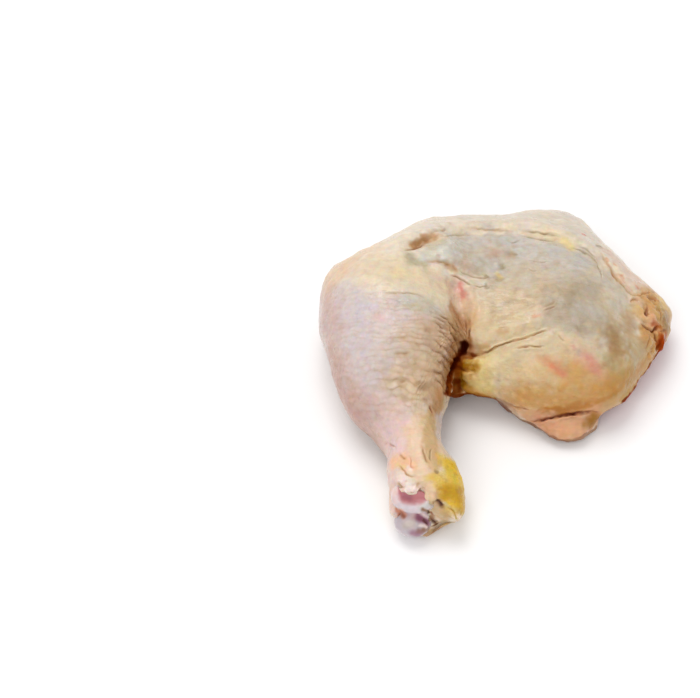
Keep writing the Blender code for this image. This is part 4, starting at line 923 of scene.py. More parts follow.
class Surface:
    """A piece's surface while it is shaped and painted: points and normals in millimetres."""

    def __init__(self, obj):
        self.obj = obj
        self.read()
        self.laid, self.laid_normals = self.points, self.normals
        faces = [tuple(face.vertices) for face in obj.data.polygons]
        self.tree = BVHTree.FromPolygons([Vector(p) for p in self.points], faces)
        self.colour = np.ones((len(self.points), 3))
        self.colours = tints()
        edges = np.empty(len(obj.data.edges) * 2, np.int32)
        obj.data.edges.foreach_get("vertices", edges)
        self.edges = edges.reshape(-1, 2)
        self.links = np.bincount(self.edges.ravel(), minlength=len(self.points))

    def read(self):
        """Reads the points and normals back from the mesh."""
        self.points, self.normals = coordinates(self.obj.data)

    def push(self, heights):
        """Moves the surface out by heights in millimetres."""
        self.place(self.points + self.normals * np.asarray(heights)[:, None])

    def place(self, points):
        """Puts the mesh's points at places in millimetres."""
        self.obj.data.vertices.foreach_set("co", (points * MM).astype(np.float32).ravel())
        self.obj.data.update()
        self.read()

    def averaged(self, values, rounds):
        """Values on the surface, spread over their neighbours a number of times."""
        a, b = self.edges[:, 0], self.edges[:, 1]
        count = len(self.points)
        for _ in range(rounds):
            total = np.bincount(a, values[b], count) + np.bincount(b, values[a], count)
            values = OWN_SHARE * values + (1 - OWN_SHARE) * total / self.links
        return values

    def hollows(self, rounds):
        """How deep the relief has sunk each point below its neighbourhood, in millimetres."""
        depth = np.sum((self.laid - self.points) * self.laid_normals, axis=1)
        return depth - self.averaged(depth, rounds)

    def under(self, x, y):
        """The place on the surface under a pixel of the photograph, or None beside it."""
        start, way = pixel_ray(x, y)
        return self.tree.ray_cast(start, way)[0]

    def trace(self, line, step=2.5):
        """A line of the photograph laid on the surface."""
        hits = [self.under(*place) for place in smooth_line(line, step)]
        return np.array([hit for hit in hits if hit is not None])

    def near(self, line, reach):
        """Points within reach of a traced line, as laid: numbers, distance, side and run, 0 to 1."""
        if len(line) == 0:
            return np.zeros(0, int), np.zeros(0), np.zeros(0), np.zeros(0)
        if len(line) == 1:
            line = np.vstack([line, line + 1e-3])
        boxed = (self.laid >= line.min(0) - reach) & (self.laid <= line.max(0) + reach)
        index = np.flatnonzero(boxed.all(axis=1))
        points, normals = self.laid[index], self.laid_normals[index]
        best = np.full(len(index), np.inf)
        side, run = np.zeros(len(index)), np.zeros(len(index))
        steps = np.linalg.norm(np.diff(line, axis=0), axis=1)
        done = np.concatenate([[0], np.cumsum(steps)])
        for start, end, step, before in zip(line, line[1:], steps, done):
            if step == 0:
                continue
            way = (end - start) / step
            offset = points - start
            along = np.clip(offset @ way, 0, step)
            offset = offset - along[:, None] * way
            distance = np.linalg.norm(offset, axis=1)
            nearer = distance < best
            best[nearer] = distance[nearer]
            side[nearer] = np.sum(np.cross(normals, way) * offset, axis=1)[nearer]
            run[nearer] = ((along + before) / done[-1])[nearer]
        close = best < reach
        return index[close], best[close], np.sign(side[close]), run[close]

    def blot(self, line, radius, softness):
        """A weight round a traced line, with a naturally uneven edge: point numbers and weights."""
        index, distance = self.near(line, radius * (1 + softness) * 1.3)[:2]
        distance = distance * (1 + 0.28 * self.uneven[index] + 0.16 * self.crook[index])
        distance = distance + 0.35 * self.small[index]
        return index, 1 - ease(distance, radius * (1 - softness), radius * (1 + softness))

    def covered(self, zones):
        """How much zones of the photograph cover each point."""
        cover = np.zeros(len(self.points))
        for radius, line in zones:
            index, weight = self.blot(self.trace(line), radius, 0.25)
            cover[index] = np.maximum(cover[index], weight)
        return cover

    def paint(self, tint, weight, index=slice(None)):
        """Lays a tint over the colour of points, by weight."""
        weight = np.asarray(weight)[..., None]
        tone = np.array(self.colours[tint]) ** (1 / GAMMA)
        self.colour[index] = self.colour[index] * (1 - weight) + tone * weight

    def look(self):
        """Notes where the photograph's camera sees each point as it lies now, and which face it."""
        self.pixels = np.stack(pixels_of(self.points), axis=1)
        to_camera = np.array(camera_place()) - self.points
        to_camera /= np.linalg.norm(to_camera, axis=1)[:, None]
        self.facing = np.sum(to_camera * self.normals, axis=1)

    def beside_line(self, half_width, least_facing, line):
        """How near the points that face the photograph's camera lie to a line of the picture."""
        distance = np.abs(beside(self.pixels, line)) + 0.8 * self.crook + 0.6 * self.small
        near = 1 - ease(distance, 0.4 * half_width, half_width)
        return near * ease(self.facing + 0.12 * self.uneven, least_facing - 0.3, least_facing)

    def finish(self, masks):
        """Stores the colour and the masks on the mesh for its material."""
        mesh = self.obj.data
        tint = mesh.color_attributes.new("tint", "FLOAT_COLOR", "POINT")
        rgba = np.ones((len(self.points), 4))
        rgba[:, :3] = np.clip(self.colour, 0, 1) ** GAMMA / OVER_WHITE
        tint.data.foreach_set("color", rgba.astype(np.float32).ravel())
        for name, values in masks.items():
            layer = mesh.attributes.new(name, "FLOAT", "POINT")
            layer.data.foreach_set("value", np.asarray(values, np.float32))

    def lay_material(self, number, wanted):
        """Gives a material of the mesh to the faces whose corners are all wanted."""
        mesh = self.obj.data
        corners = np.empty(len(mesh.loops), np.int32)
        mesh.loops.foreach_get("vertex_index", corners)
        starts = np.empty(len(mesh.polygons), np.int32)
        mesh.polygons.foreach_get("loop_start", starts)
        chosen = np.minimum.reduceat(wanted[corners].astype(int), starts)
        mesh.polygons.foreach_set("material_index", (chosen * number).astype(np.int32))


def settled(obj):
    """Applies a piece's modifiers to its mesh."""
    bpy.context.view_layer.update()
    graph = bpy.context.evaluated_depsgraph_get()
    mesh = bpy.data.meshes.new_from_object(obj.evaluated_get(graph))
    obj.modifiers.clear()
    obj.data = mesh
    mesh.name = obj.name
    mesh.materials.clear()
    mesh.polygons.foreach_set("use_smooth", np.ones(len(mesh.polygons), bool))


def fine_piece(name, bm, voxel, passes):
    """One fine even mesh over closed forms, their facets rounded off."""
    mesh = bpy.data.meshes.new(name)
    bm.to_mesh(mesh)
    bm.free()
    obj = bpy.data.objects.new(name, mesh)
    bpy.context.scene.collection.objects.link(obj)
    remesh = obj.modifiers.new("fine mesh", "REMESH")
    remesh.mode = "VOXEL"
    remesh.voxel_size = voxel * MM
    smooth = obj.modifiers.new("round off", "SMOOTH")
    smooth.factor = 0.5
    smooth.iterations = passes
    settled(obj)
    return obj


def seen_tree():
    """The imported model's whole surface, for laying the lumps on it."""
    vertices, faces = [], []
    for node_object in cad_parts.values():
        start = len(vertices)
        vertices += [v.co / MM for v in node_object.data.vertices]
        faces += [[i + start for i in face.vertices] for face in node_object.data.polygons]
    return BVHTree.FromPolygons(vertices, faces)


def joined_forms():
    """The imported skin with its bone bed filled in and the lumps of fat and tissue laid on."""
    bm = bmesh.new()
    bm.from_mesh(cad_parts["leg_quarter"].data)
    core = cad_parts["shin_bone"].data.copy()
    points, normals = coordinates(core)
    filled = points + normals * BED_FULLER - np.array(HOCK_FACING) * BED_SUNK
    core.vertices.foreach_set("co", (filled * MM).astype(np.float32).ravel())
    bm.from_mesh(core)
    tree = seen_tree()
    for place, half_sizes, sunk in LUMPS:
        hit, normal = tree.ray_cast(*pixel_ray(*place))[:2]
        turn = normal.to_track_quat("Z", "Y").to_matrix().to_4x4()
        size = Matrix.Diagonal((*half_sizes, 1))
        place_at = Matrix.Translation((hit - normal * sunk) * MM) @ turn @ size @ Matrix.Scale(MM, 4)
        bmesh.ops.create_icosphere(bm, subdivisions=3, radius=1, matrix=place_at)
    return bm


def refine(surface, zones):
    """Halves the mesh's grain in zones of the photograph."""
    wanted = np.zeros(len(surface.points), bool)
    for radius, line in zones:
        wanted[surface.near(surface.trace(line), radius)[0]] = True
    bm = bmesh.new()
    bm.from_mesh(surface.obj.data)
    bm.verts.ensure_lookup_table()
    edges = [e for e in bm.edges if wanted[e.verts[0].index] and wanted[e.verts[1].index]]
    bmesh.ops.subdivide_edges(bm, edges=edges, cuts=1, use_grid_fill=True)
    bm.to_mesh(surface.obj.data)
    bm.free()
    finer = Surface(surface.obj)
    evened = np.stack([finer.averaged(finer.points[:, i], 2) for i in range(3)], axis=1)
    near_zone = np.zeros(len(finer.points))
    near_zone[:len(wanted)] = wanted
    near_zone[len(wanted):] = 1
    finer.place(finer.points + (evened - finer.points) * near_zone[:, None])
    return Surface(finer.obj)


def hug(surface, bone):
    """Draws the flesh round the cut bone against it, so that no gap shows."""
    points = surface.points.copy()
    for number in np.flatnonzero(points[:, 1] < HOCK_FROM):
        spot, normal, _, distance = bone.tree.find_nearest(Vector(points[number]), HUG_REACH)
        if spot is None:
            continue
        way = Vector(points[number]) - spot
        if way.dot(normal) > 0:
            pull = 1 - float(ease(distance, HUG_NEAR, HUG_REACH))
            points[number] -= np.array(way) * pull * (1 + HUG_GAP / max(distance, 0.05))
    surface.place(points)


def fold_profile(surface, line, half_width, reach):
    """A fold's points: numbers, distance from its crooked line in half widths, side and strength."""
    index, distance, side, run = surface.near(surface.trace(line, 1.5), half_width * reach + 0.5)
    signed = distance * side + 0.3 * surface.crook[index]
    width = half_width * (1 + 0.3 * surface.uneven[index])
    # It fades out over the last third at both ends, and is broken up along its way.
    strength = ease(run, -0.04, 0.34) * ease(1 - run, -0.04, 0.34)
    strength *= np.clip(0.85 + 0.35 * surface.crook[index], 0.3, 1.1)
    return index, np.abs(signed) / width, side, strength


def fold_heights(surface, depth_scale):
    """How far each point moves for the folds."""
    heights = np.zeros(len(surface.points))
    for _, _, half_width, depth, left_bank, right_bank, line in FOLDS:
        index, away, side, strength = fold_profile(surface, line, half_width, 6)
        bank = np.where(side > 0, left_bank, right_bank)
        shoulder = np.exp(-(((away - BANK_AT) / BANK_WIDTH) ** 2))
        heights[index] += strength * depth_scale * (bank * shoulder - depth * np.exp(-(away**1.6)))
    return heights


def tint_folds(surface):
    """Paints each fold's tint: painted shade in its depth, or a pale painted highlight along a ridge."""
    for tint, cover, half_width, *_, line in FOLDS:
        index, away, _, strength = fold_profile(surface, line, half_width, 4)
        surface.paint(tint, cover * strength * np.exp(-((away / FOLD_TINT_WIDTH) ** 2)), index)


def cell_centres(surface, mask, spacing, seed, tries=9000):
    """Middles of cells spread evenly over the masked surface."""
    order = np.random.default_rng(seed).permutation(np.flatnonzero(mask > COVERED))[:tries]
    kept = np.empty((len(order), 3))
    count = 0
    for number in order:
        square = np.sum((kept[:count] - surface.points[number]) ** 2, axis=1)
        if count == 0 or square.min() > spacing**2:
            kept[count] = surface.points[number]
            count += 1
    return kept[:count]


def to_centres(surface, mask, spacing, seed):
    """For each masked point, the distance to the nearest cell's middle and to the next one."""
    chosen = np.flatnonzero(mask > COVERED)
    centres = cell_centres(surface, mask, spacing, seed)
    nearest = np.empty((len(chosen), 2))
    for start in range(0, len(chosen), CHUNK):
        points = surface.points[chosen[start:start + CHUNK], None]
        distance = np.linalg.norm(centres[None] - points, axis=2)
        nearest[start:start + CHUNK] = np.partition(distance, 1, axis=1)[:, :2]
    return chosen, nearest


def cell_relief(surface, mask, spacing, seed):
    """How far inside its cell each point lies: 0 between cells, 1 in their middles and off the mask."""
    tops = np.ones(len(surface.points))
    chosen, nearest = to_centres(surface, mask, spacing, seed)
    tops[chosen] = (nearest[:, 1] - nearest[:, 0]) / spacing
    return np.clip(tops, 0, 1)


def round_bumps(surface, mask, spacing, seed):
    """Height, 0 to 1, of low round bumps spread evenly over the masked surface."""
    height = np.zeros(len(surface.points))
    chosen, nearest = to_centres(surface, mask, spacing, seed)
    height[chosen] = np.exp(-((nearest[:, 0] / (0.3 * spacing)) ** 2))
    return height * mask


def feed(tree, target, **links):
    """Gives a node's inputs, by name, their values or the sockets that feed them."""
    for key, value in links.items():
        wanted = key.replace("_", " ")
        inputs = (s for s in target.inputs if s.enabled)
        socket = next(s for s in inputs if s.identifier == key or s.name == wanted)
        if isinstance(value, bpy.types.NodeSocket):
            tree.links.new(value, socket)
        else:
            socket.default_value = value


def node(tree, kind, settings=None, **links):
    """Adds a shader node: settings are its own options, links are values or sockets by input name."""
    made = tree.nodes.new(kind)
    for key, value in (settings or {}).items():
        setattr(made, key, value)
    feed(tree, made, **links)
    return made


def new_material(name):
    """An empty node material: itself, its tree and its shader."""
    material = bpy.data.materials.new(name)
    material.use_nodes = True
    tree = material.node_tree
    return material, tree, tree.nodes["Principled BSDF"]


def per_metre(spacing):
    """A texture scale that repeats about every spacing, in millimetres."""
    return 1 / (spacing * MM)


def moist_skin(name, gloss_level, film_weight):
    """Raw chicken skin over fat and muscle, plucked and wet.

    To the eye it is soft and slightly see-through, clouded by the fat below, with low follicle bumps,
    fine slack wrinkles and a thin film that breaks up the shine.
    """
    material, tree, shader = new_material(name)
    tint = node(tree, "ShaderNodeAttribute", {"attribute_name": "tint"})
    wet = node(tree, "ShaderNodeAttribute", {"attribute_name": "wet"})
    follicle = node(tree, "ShaderNodeAttribute", {"attribute_name": "follicle"})
    place = node(tree, "ShaderNodeTexCoord").outputs["Object"]
    # Slack skin wrinkles across its pull, about 1 mm from crest to crest.
    pull = node(tree, "ShaderNodeMapping", Vector=place, Scale=(0.3, 1.0, 1.0))
    wrinkles = node(
        tree, "ShaderNodeTexNoise", Vector=pull.outputs["Vector"], Scale=per_metre(1.3), Detail=3.0,
        Distortion=0.4
    )
    # Fat under the skin clouds it in patches of about 2 mm.
    cloud = node(
        tree, "ShaderNodeTexNoise", Vector=place, Scale=per_metre(2.2), Detail=5.0, Roughness=0.62
    )
    shift = node(
        tree, "ShaderNodeMapRange", {"data_type": "FLOAT_VECTOR"}, Vector=cloud.outputs["Color"],
        From_Min=(0.3, 0.3, 0.3), From_Max=(0.7, 0.7, 0.7),
        To_Min=(0.93, 0.915, 0.885), To_Max=(1.05, 1.055, 1.08)
    )
    clouded = node(
        tree, "ShaderNodeVectorMath", {"operation": "MULTIPLY"}, Vector=tint.outputs["Color"],
        Vector_001=shift.outputs["Vector"]
    )
    # Painted shade: the colour is a little darker in the wrinkles' creases.
    crease = node(
        tree, "ShaderNodeMapRange", Value=wrinkles.outputs["Fac"], From_Min=0.32, From_Max=0.6,
        To_Min=0.95, To_Max=1.01
    )
    shaded = node(
        tree, "ShaderNodeVectorMath", {"operation": "SCALE"}, Vector=clouded.outputs["Vector"],
        Scale=crease.outputs["Result"]
    )
    # Plucked feathers leave low pimples about 3.4 mm apart.
    holes = node(tree, "ShaderNodeTexVoronoi", Vector=place, Scale=per_metre(3.4), Randomness=0.85)
    pimple = node(
        tree, "ShaderNodeMapRange", {"interpolation_type": "SMOOTHSTEP"},
        Value=holes.outputs["Distance"], From_Min=0.08, From_Max=0.4, To_Min=1.0, To_Max=0.0
    )
    raised = node(
        tree, "ShaderNodeMath", {"operation": "MULTIPLY"}, Value=follicle.outputs["Fac"],
        Value_001=pimple.outputs["Result"]
    )
    # Real pores are 0.2 mm wide. They are drawn 0.9 mm apart and as wide as shows.
    pores = node(tree, "ShaderNodeTexVoronoi", Vector=place, Scale=per_metre(0.9))
    # The film dries in patches of about 5 mm, and is smoother where more of it lies.
    film = node(tree, "ShaderNodeTexNoise", Vector=place, Scale=per_metre(5.0), Detail=3.0)
    dry = node(
        tree, "ShaderNodeMapRange", Value=film.outputs["Fac"], From_Min=0.35, From_Max=0.65,
        To_Min=0.34, To_Max=0.5
    )
    gloss = node(tree, "ShaderNodeMapRange", Value=wet.outputs["Fac"], To_Min=0.0, To_Max=0.24)
    rough = node(
        tree, "ShaderNodeMath", {"operation": "SUBTRACT"}, Value=dry.outputs["Result"],
        Value_001=gloss.outputs["Result"]
    )
    relief = None
    for strength, depth, height in (
        (0.25, 0.0002, pores.outputs["Distance"]),
        (0.45, 0.0005, raised.outputs["Value"]),
        (0.55, 0.0004, wrinkles.outputs["Fac"]),
        (0.3, 0.0004, cloud.outputs["Fac"]),
    ):
        below = {"Normal": relief.outputs["Normal"]} if relief else {}
        relief = node(tree, "ShaderNodeBump", Strength=strength, Distance=depth, Height=height, **below)
    feed(
        tree, shader, Base_Color=shaded.outputs["Vector"], Roughness=rough.outputs["Value"],
        Normal=relief.outputs["Normal"], IOR=1.4, Subsurface_Weight=0.3,
        Subsurface_Radius=(1.0, 0.5, 0.32), Subsurface_Scale=0.0015,
        Specular_IOR_Level=gloss_level, Coat_Weight=film_weight, Coat_Roughness=0.22
    )
    return material


def wet_cartilage():
    """Cartilage of a cut joint: smooth, bluish white and wet, with an even soft shine."""
    material, tree, shader = new_material("joint cartilage, wet")
    tint = node(tree, "ShaderNodeAttribute", {"attribute_name": "tint"})
    place = node(tree, "ShaderNodeTexCoord").outputs["Object"]
    # Blood and marrow show through in patches of about 2 mm.
    mottle = node(tree, "ShaderNodeTexNoise", Vector=place, Scale=per_metre(2.0), Detail=4.0)
    shift = node(
        tree, "ShaderNodeMapRange", Value=mottle.outputs["Fac"], From_Min=0.3, From_Max=0.7,
        To_Min=0.94, To_Max=1.05
    )
    shaded = node(
        tree, "ShaderNodeVectorMath", {"operation": "SCALE"}, Vector=tint.outputs["Color"],
        Scale=shift.outputs["Result"]
    )
    grain = node(tree, "ShaderNodeBump", Strength=0.3, Distance=0.0003, Height=mottle.outputs["Fac"])
    feed(
        tree, shader, Base_Color=shaded.outputs["Vector"], Normal=grain.outputs["Normal"],
        Roughness=0.3, IOR=1.4, Subsurface_Weight=0.4, Subsurface_Radius=(1.0, 0.6, 0.5),
        Subsurface_Scale=0.0015, Coat_Weight=0.25, Coat_Roughness=0.18
    )
    return material


class LegSizes(bpy.types.PropertyGroup):
    """Sizes of the leg's finish."""

    grain: FloatProperty(
        name="Mesh grain", description="Edge of the fine mesh's faces", default=0.5 * MM,
        unit="LENGTH", precision=5
    )
    bone_grain: FloatProperty(
        name="Bone grain", description="Edge of the bone mesh's faces", default=0.4 * MM,
        unit="LENGTH", precision=5
    )
    passes: IntProperty(
        name="Rounding passes", description="How often the facets are rounded off", default=24
    )
    bone_passes: IntProperty(
        name="Bone rounding passes", description="How often the bone's facets are rounded off",
        default=8
    )
    fold_depth: FloatProperty(
        name="Fold depth", description="Depth of all folds, as a factor", default=1.0
    )
    bump_height: FloatProperty(
        name="Bump height", description="Height of the follicle bumps by the knee", default=0.65 * MM,
        unit="LENGTH", precision=5
    )


def tint_property(name):
    """The colour property of one tint."""
    value, where = TINTS[name]
    return FloatVectorProperty(
        name=name.replace("_", " ").capitalize(), description=where, subtype="COLOR", size=3,
        min=0, max=1, default=linear(value)
    )


class LegTints(bpy.types.PropertyGroup):
    """Tints of the leg's skin, fat, meat and cartilage."""

    __annotations__ = {name: tint_property(name) for name in TINTS}


def tints():
    """The tints as the user has set them."""
    group = bpy.context.scene.leg_tints
    return {name: tuple(getattr(group, name)) for name in TINTS}


def lay_fields(surface, fields, traced=False):
    """Paints colour fields along lines of the photograph, or along traced ones."""
    for tint, cover, radius, softness, points in fields:
        line = np.array(points, float) if traced else surface.trace(points)
        index, weight = surface.blot(line, radius, softness)
        surface.paint(tint, cover * weight, index)


def bare_meat(surface):
    """How bare each point is: the cut hip side under the skin's edge, and the inner side below."""
    points, normals = surface.laid, surface.laid_normals
    start, end = np.array(CUT_EDGE_FROM), np.array(CUT_EDGE_TO)
    way = (end - start) / np.linalg.norm(end - start)
    beyond = (points[:, :2] - start) @ np.array((way[1], -way[0]))
    height = points[:, 2] + 1.5 * surface.uneven
    under_skin = 1 - ease(height, CUT_EDGE_HEIGHT - 2.5, CUT_EDGE_HEIGHT - 0.5)
    cut_side = ease(beyond, -4, 1) * under_skin
    across = (points[:, :2] - np.array(INNER_SIDE_CENTRE)) / np.array(INNER_SIDE_RADII)
    inside = 1 - np.linalg.norm(across, axis=1) + 0.04 * surface.uneven
    inner = ease(inside, 0.04, 0.12) * ease(-normals[:, 2], 0.2, 0.5)
    return np.maximum(cut_side * ease(points[:, 1], *CUT_SIDE_FROM), inner)


def staggered_bumps(run, row, stretch):
    """Height, 0 to 1, of rounded bumps in staggered rows, each a little out of place and size."""
    height = np.zeros(len(run))
    for above in (-1, 0, 1):
        line = np.floor(row) + above
        shifted = run + 0.5 * (line % 2)
        for along in (-1, 0, 1):
            cell = np.floor(shifted) + along
            middle = cell + 0.5 + 0.5 * (draw(cell, line, 1) - 0.5)
            level = line + 0.5 + 0.45 * (draw(cell, line, 2) - 0.5)
            size = 0.7 + 0.55 * draw(cell, line, 3)
            far = (shifted - middle) / (0.66 * size * stretch)
            below = (row - level) / (0.56 * size)
            # The lower edge, which overhangs, is the steeper one.
            below = np.where(below > 0, below * 1.3, below * 0.85)
            dome = np.clip(1 - far**2 - below**2, 0, 1) ** 0.8 * (0.35 + 0.65 * draw(cell, line, 4))
            height = np.maximum(height, dome)
    return height


def drumstick_relief(surface, sizes):
    """Rows of follicle bumps on the drumstick, which bend and close up into folds by the crevice.

    It pushes them out, and gives how much each point is the drumstick's skin, a gap between bumps, the
    crest of one, and drawn tight by the crevice.
    """
    across, down = pixels_of(surface.laid)
    pixels = np.stack([across, down], axis=1)
    inside = beside(pixels, (*CREVICE_EDGE, CREVICE_BELOW))
    below = beside(pixels, (KNEE_LEFT, *DRUMSTICK_TOP))
    along, facing_up = surface.laid[:, 1], surface.laid_normals[:, 2]

    # The thin skin ends at the crevice, along its wandering top line and towards the hock.
    wander = 5 * surface.uneven * ease(inside, 4, 40)
    skin = ease(inside, -3, 3) * ease(below + wander, -5, 9 + 0.16 * np.clip(inside, 0, 90))
    skin *= ease(along, *THIN_SKIN_FROM)
    drumstick = ease(inside, -2, 2) * ease(below, -2, 14) * ease(along, *DRUMSTICK_FROM)
    drumstick *= ease(facing_up, -0.45, 0.05)

    chosen = np.flatnonzero(drumstick > 0.01)
    points, across, down = surface.laid[chosen], across[chosen], down[chosen]
    away = np.maximum(inside[chosen], 0)
    drop = np.interp(down, ROW_DROP_AT, ROW_DROP) * np.exp(-away / ROW_BEND)
    row = np.interp(down - drop, ROW_HEIGHTS, ROW_NUMBERS)
    row += 0.4 * lumps(points, *NOISES["row_sway"]) + 0.22 * lumps(points, *NOISES["row_jitter"])
    tight = 1 - ease(away, *TIGHT_WITHIN)
    run = across / BUMP_LENGTH + 0.35 * lumps(points, *NOISES["run_jitter"])
    bumps = staggered_bumps(run * (1 - 0.35 * tight), row, 1 + 0.9 * tight)
    ridge = np.abs(np.sin(np.pi * row)) ** 0.9
    ridge = ridge * np.clip(0.75 + 0.5 * lumps(points, *NOISES["ridge"]), 0.2, 1)
    form = bumps + (ridge - bumps) * (0.28 + 0.42 * tight)

    # The bumps are lower away from the crevice, near the knee and towards the shank.
    strength = 0.36 + 0.64 * (1 - ease(away, *BUMPS_FADE))
    strength *= 0.45 + 0.55 * ease(down + 44 * tight, *BUMPS_FROM)
    strength *= 0.3 + 0.7 * (1 - ease(down, *BUMPS_TO))
    patchy = np.clip(0.8 + 0.5 * lumps(points, *NOISES["bump_strength"]), 0.3, 1.2)
    strength *= drumstick[chosen] * patchy * (1 - 0.5 * tight)

    relief = np.zeros((4, len(surface.points)))
    relief[0, chosen] = (form - 0.45) * strength * sizes.bump_height / MM * (0.8 + 0.2 * tight)
    relief[1, chosen] = (1 - np.clip(form, 0, 1)) ** 1.8 * strength
    relief[2, chosen] = np.clip(form, 0, 1) ** 2 * strength
    relief[3, chosen] = tight
    surface.push(relief[0])
    return skin, relief[1], relief[2], relief[3]


def shape_skin(surface, sizes):
    """Lays the skin's relief, kind by kind, and gives the masks and noises that the paint needs."""
    made = SimpleNamespace(middling=lumps(surface.points, *NOISES["middling"]))
    upper = ease(surface.normals[:, 2], -0.3, 0.2)
    heights = fold_heights(surface, sizes.fold_depth) * upper
    for place, radius, height in SWELLS:
        distance = np.linalg.norm(surface.points - np.array(surface.under(*place)), axis=1)
        heights += height * np.exp(-((distance / radius) ** 2))
    soft = RELIEF["small"] * surface.small + RELIEF["middling"] * made.middling
    surface.push(heights + upper * soft)
    made.wrinkled = surface.covered(WRINKLED_ZONES)
    surface.push(RELIEF["wrinkles"] * lumps(surface.points, *NOISES["wrinkles"]) * made.wrinkled)
    made.drumstick, made.gaps, made.crests, made.tight = drumstick_relief(surface, sizes)

    made.ragged = surface.covered(RAGGED_ZONES)
    made.rough = lumps(surface.points, *NOISES["rough_fat"])
    surface.push((RELIEF["rough_fat"] * made.rough + RELIEF["fat_grain"] * surface.small) * made.ragged)
    made.scaly = surface.covered(SCALY_ZONES)
    made.scales = cell_relief(surface, made.scaly, SCALE_SPACING, SCALE_SEED)
    surface.push((np.sqrt(made.scales) - 0.5) * RELIEF["scales"] * made.scaly)

    made.bare = bare_meat(surface)
    made.plucked = (1 - made.drumstick) * (1 - made.ragged) * (1 - made.scaly) * (1 - made.bare)
    made.plucked *= 1 - ease(surface.laid_normals[:, 2], 0.3, 0.75)
    made.feather_bumps = round_bumps(surface, made.plucked, PLUCKED_SPACING, PLUCKED_SEED)
    surface.push(RELIEF["plucked"] * made.feather_bumps)
    fibre_points = surface.points * np.array((0.35, 1, 1))
    made.fibres = lumps(fibre_points, *NOISES["fibres"])
    made.bundles = lumps(fibre_points, *NOISES["bundles"])
    surface.push(made.bare * (RELIEF["fibres"] * made.fibres + RELIEF["bundles"] * made.bundles))
    low, high = np.array(CAD_BOX) / MM
    surface.place(np.clip(surface.points, low, high))
    surface.look()
    return made


def paint_skin(surface, made):
    """Lays the colours of skin, fat, folds and bare meat, one over another, with painted shade in folds,
    gaps and hollows and painted light on crests.
    """
    paint, facing = surface.paint, surface.laid_normals
    paint("cream", np.ones(len(surface.points)))
    lay_fields(surface, SIDE_FIELDS, traced=True)
    paint("lilac", 0.95 * made.drumstick)
    lay_fields(surface, FIELDS)
    muscle = 0.3 + 0.7 * surface.covered(MUSCLE_ZONES)
    muscle *= ease(facing[:, 2], 0.1, 0.5) * (1 - made.drumstick)
    muscle *= ease(surface.laid[:, 1], *MUSCLE_FROM)
    for tint, cover, size, seed in MOTTLES:
        paint(tint, cover * ease(lumps(surface.points, size, seed), 0.1, 0.9) * muscle)
    # Painted shade in the gaps between follicle bumps, browner where they close up by the crevice, and
    # painted light on their crests.
    paint("pebble_gap_shade", np.clip(0.6 * made.gaps * (1 - made.tight), 0, 1))
    paint("umber", np.clip(0.4 * made.gaps * made.tight, 0, 1))
    paint("pale_cream_and_highlight", 0.34 * made.crests)
    # Painted shade between the bumps that plucked feathers leave, and painted light on them.
    paint("fold_skin_and_shade", 0.08 * made.plucked * (1 - made.feather_bumps))
    paint("pale_cream_and_highlight", 0.14 * made.feather_bumps)
    # Painted shade in the hollows of the ragged fat and, partly, in the grooves between the scales.
    paint("amber", 0.45 * ease(-made.rough, 0.2, 0.9) * made.ragged)
    paint("mustard", 0.2 * (1 - ease(made.scales, 0, 0.4)) * made.scaly)
    paint("umber", 0.22 * ease(surface.small, 0.1, 0.9) * made.scaly)
    tint_folds(surface)
    for tint, cover, half_width, least_facing, line in STROKES:
        paint(tint, cover * surface.beside_line(half_width, least_facing, line))
    lay_fields(surface, DEEP_FIELDS)
    # Painted shade: skin that turns under at the front lies in the leg's shade and is painted darker,
    # with the meat seen through it.
    front = ease(-facing[:, 1], 0, 0.5) * (1 - 0.8 * made.drumstick)
    front *= ease(surface.laid[:, 1], *FRONT_FROM)
    paint("fold_shade_brown", (0.25 + 0.55 * front) * ease(-facing[:, 2], 0.05, 0.6))
    paint("meat", made.bare)
    paint("meat_pale", made.bare * ease(made.bundles, 0.1, 0.9) * 0.8)
    membrane = ease(lumps(surface.points, *NOISES["membrane"]), 0.25, 0.7)
    paint("membrane", made.bare * membrane * 0.75)
    paint("meat_deep", made.bare * ease(made.fibres, 0.3, 0.9) * 0.35)

    # Painted shade and light: hollows are painted darker and warmer, crests a little lighter, and the
    # tone drifts over the whole.
    hollow = surface.hollows(FINE_ROUNDS)
    hollow = np.clip((hollow - 0.02) / 0.25, 0, 1) - 0.3 * np.clip(-hollow / 0.25, 0, 1)
    surface.colour *= 1 - hollow[:, None] * np.array((0.1, 0.17, 0.25))
    drift = 0.014 * lumps(surface.points, *NOISES["tone"])[:, None] * np.array((1, 0.4, -0.8))
    surface.colour *= 1 + drift + 0.008 * made.middling[:, None]


def dull_places(surface):
    """Which points lie so deep that no wet film shines there."""
    deep = np.maximum(ease(surface.hollows(DEEP_ROUNDS), 0.4, 1.2), surface.covered(DULL_ZONES))
    for half_width, least_facing, line in DULL_STROKES:
        deep = np.maximum(deep, surface.beside_line(half_width, least_facing, line))
    return deep > 0.5


def skin_masks(surface, made):
    """How wet each point is, and how much its follicles stand up."""
    wet = np.clip(0.25 + 0.3 * surface.uneven + 0.6 * made.bare + 0.5 * made.ragged, 0, 1)
    index, weight = surface.blot(surface.trace(WET_BUMP), WET_BUMP_RADIUS, 0.5)
    wet[index] = np.maximum(wet[index], weight)
    wet = np.maximum(wet, made.wrinkled)
    smooth_top = ease(surface.laid_normals[:, 2], 0.5, 0.9) * (1 - made.drumstick)
    follicle = (1 - 0.85 * smooth_top) * (1 - made.bare) * (1 - made.ragged)
    return {"wet": wet, "follicle": follicle * (1 - made.scaly) * (1 - 0.7 * made.crests)}


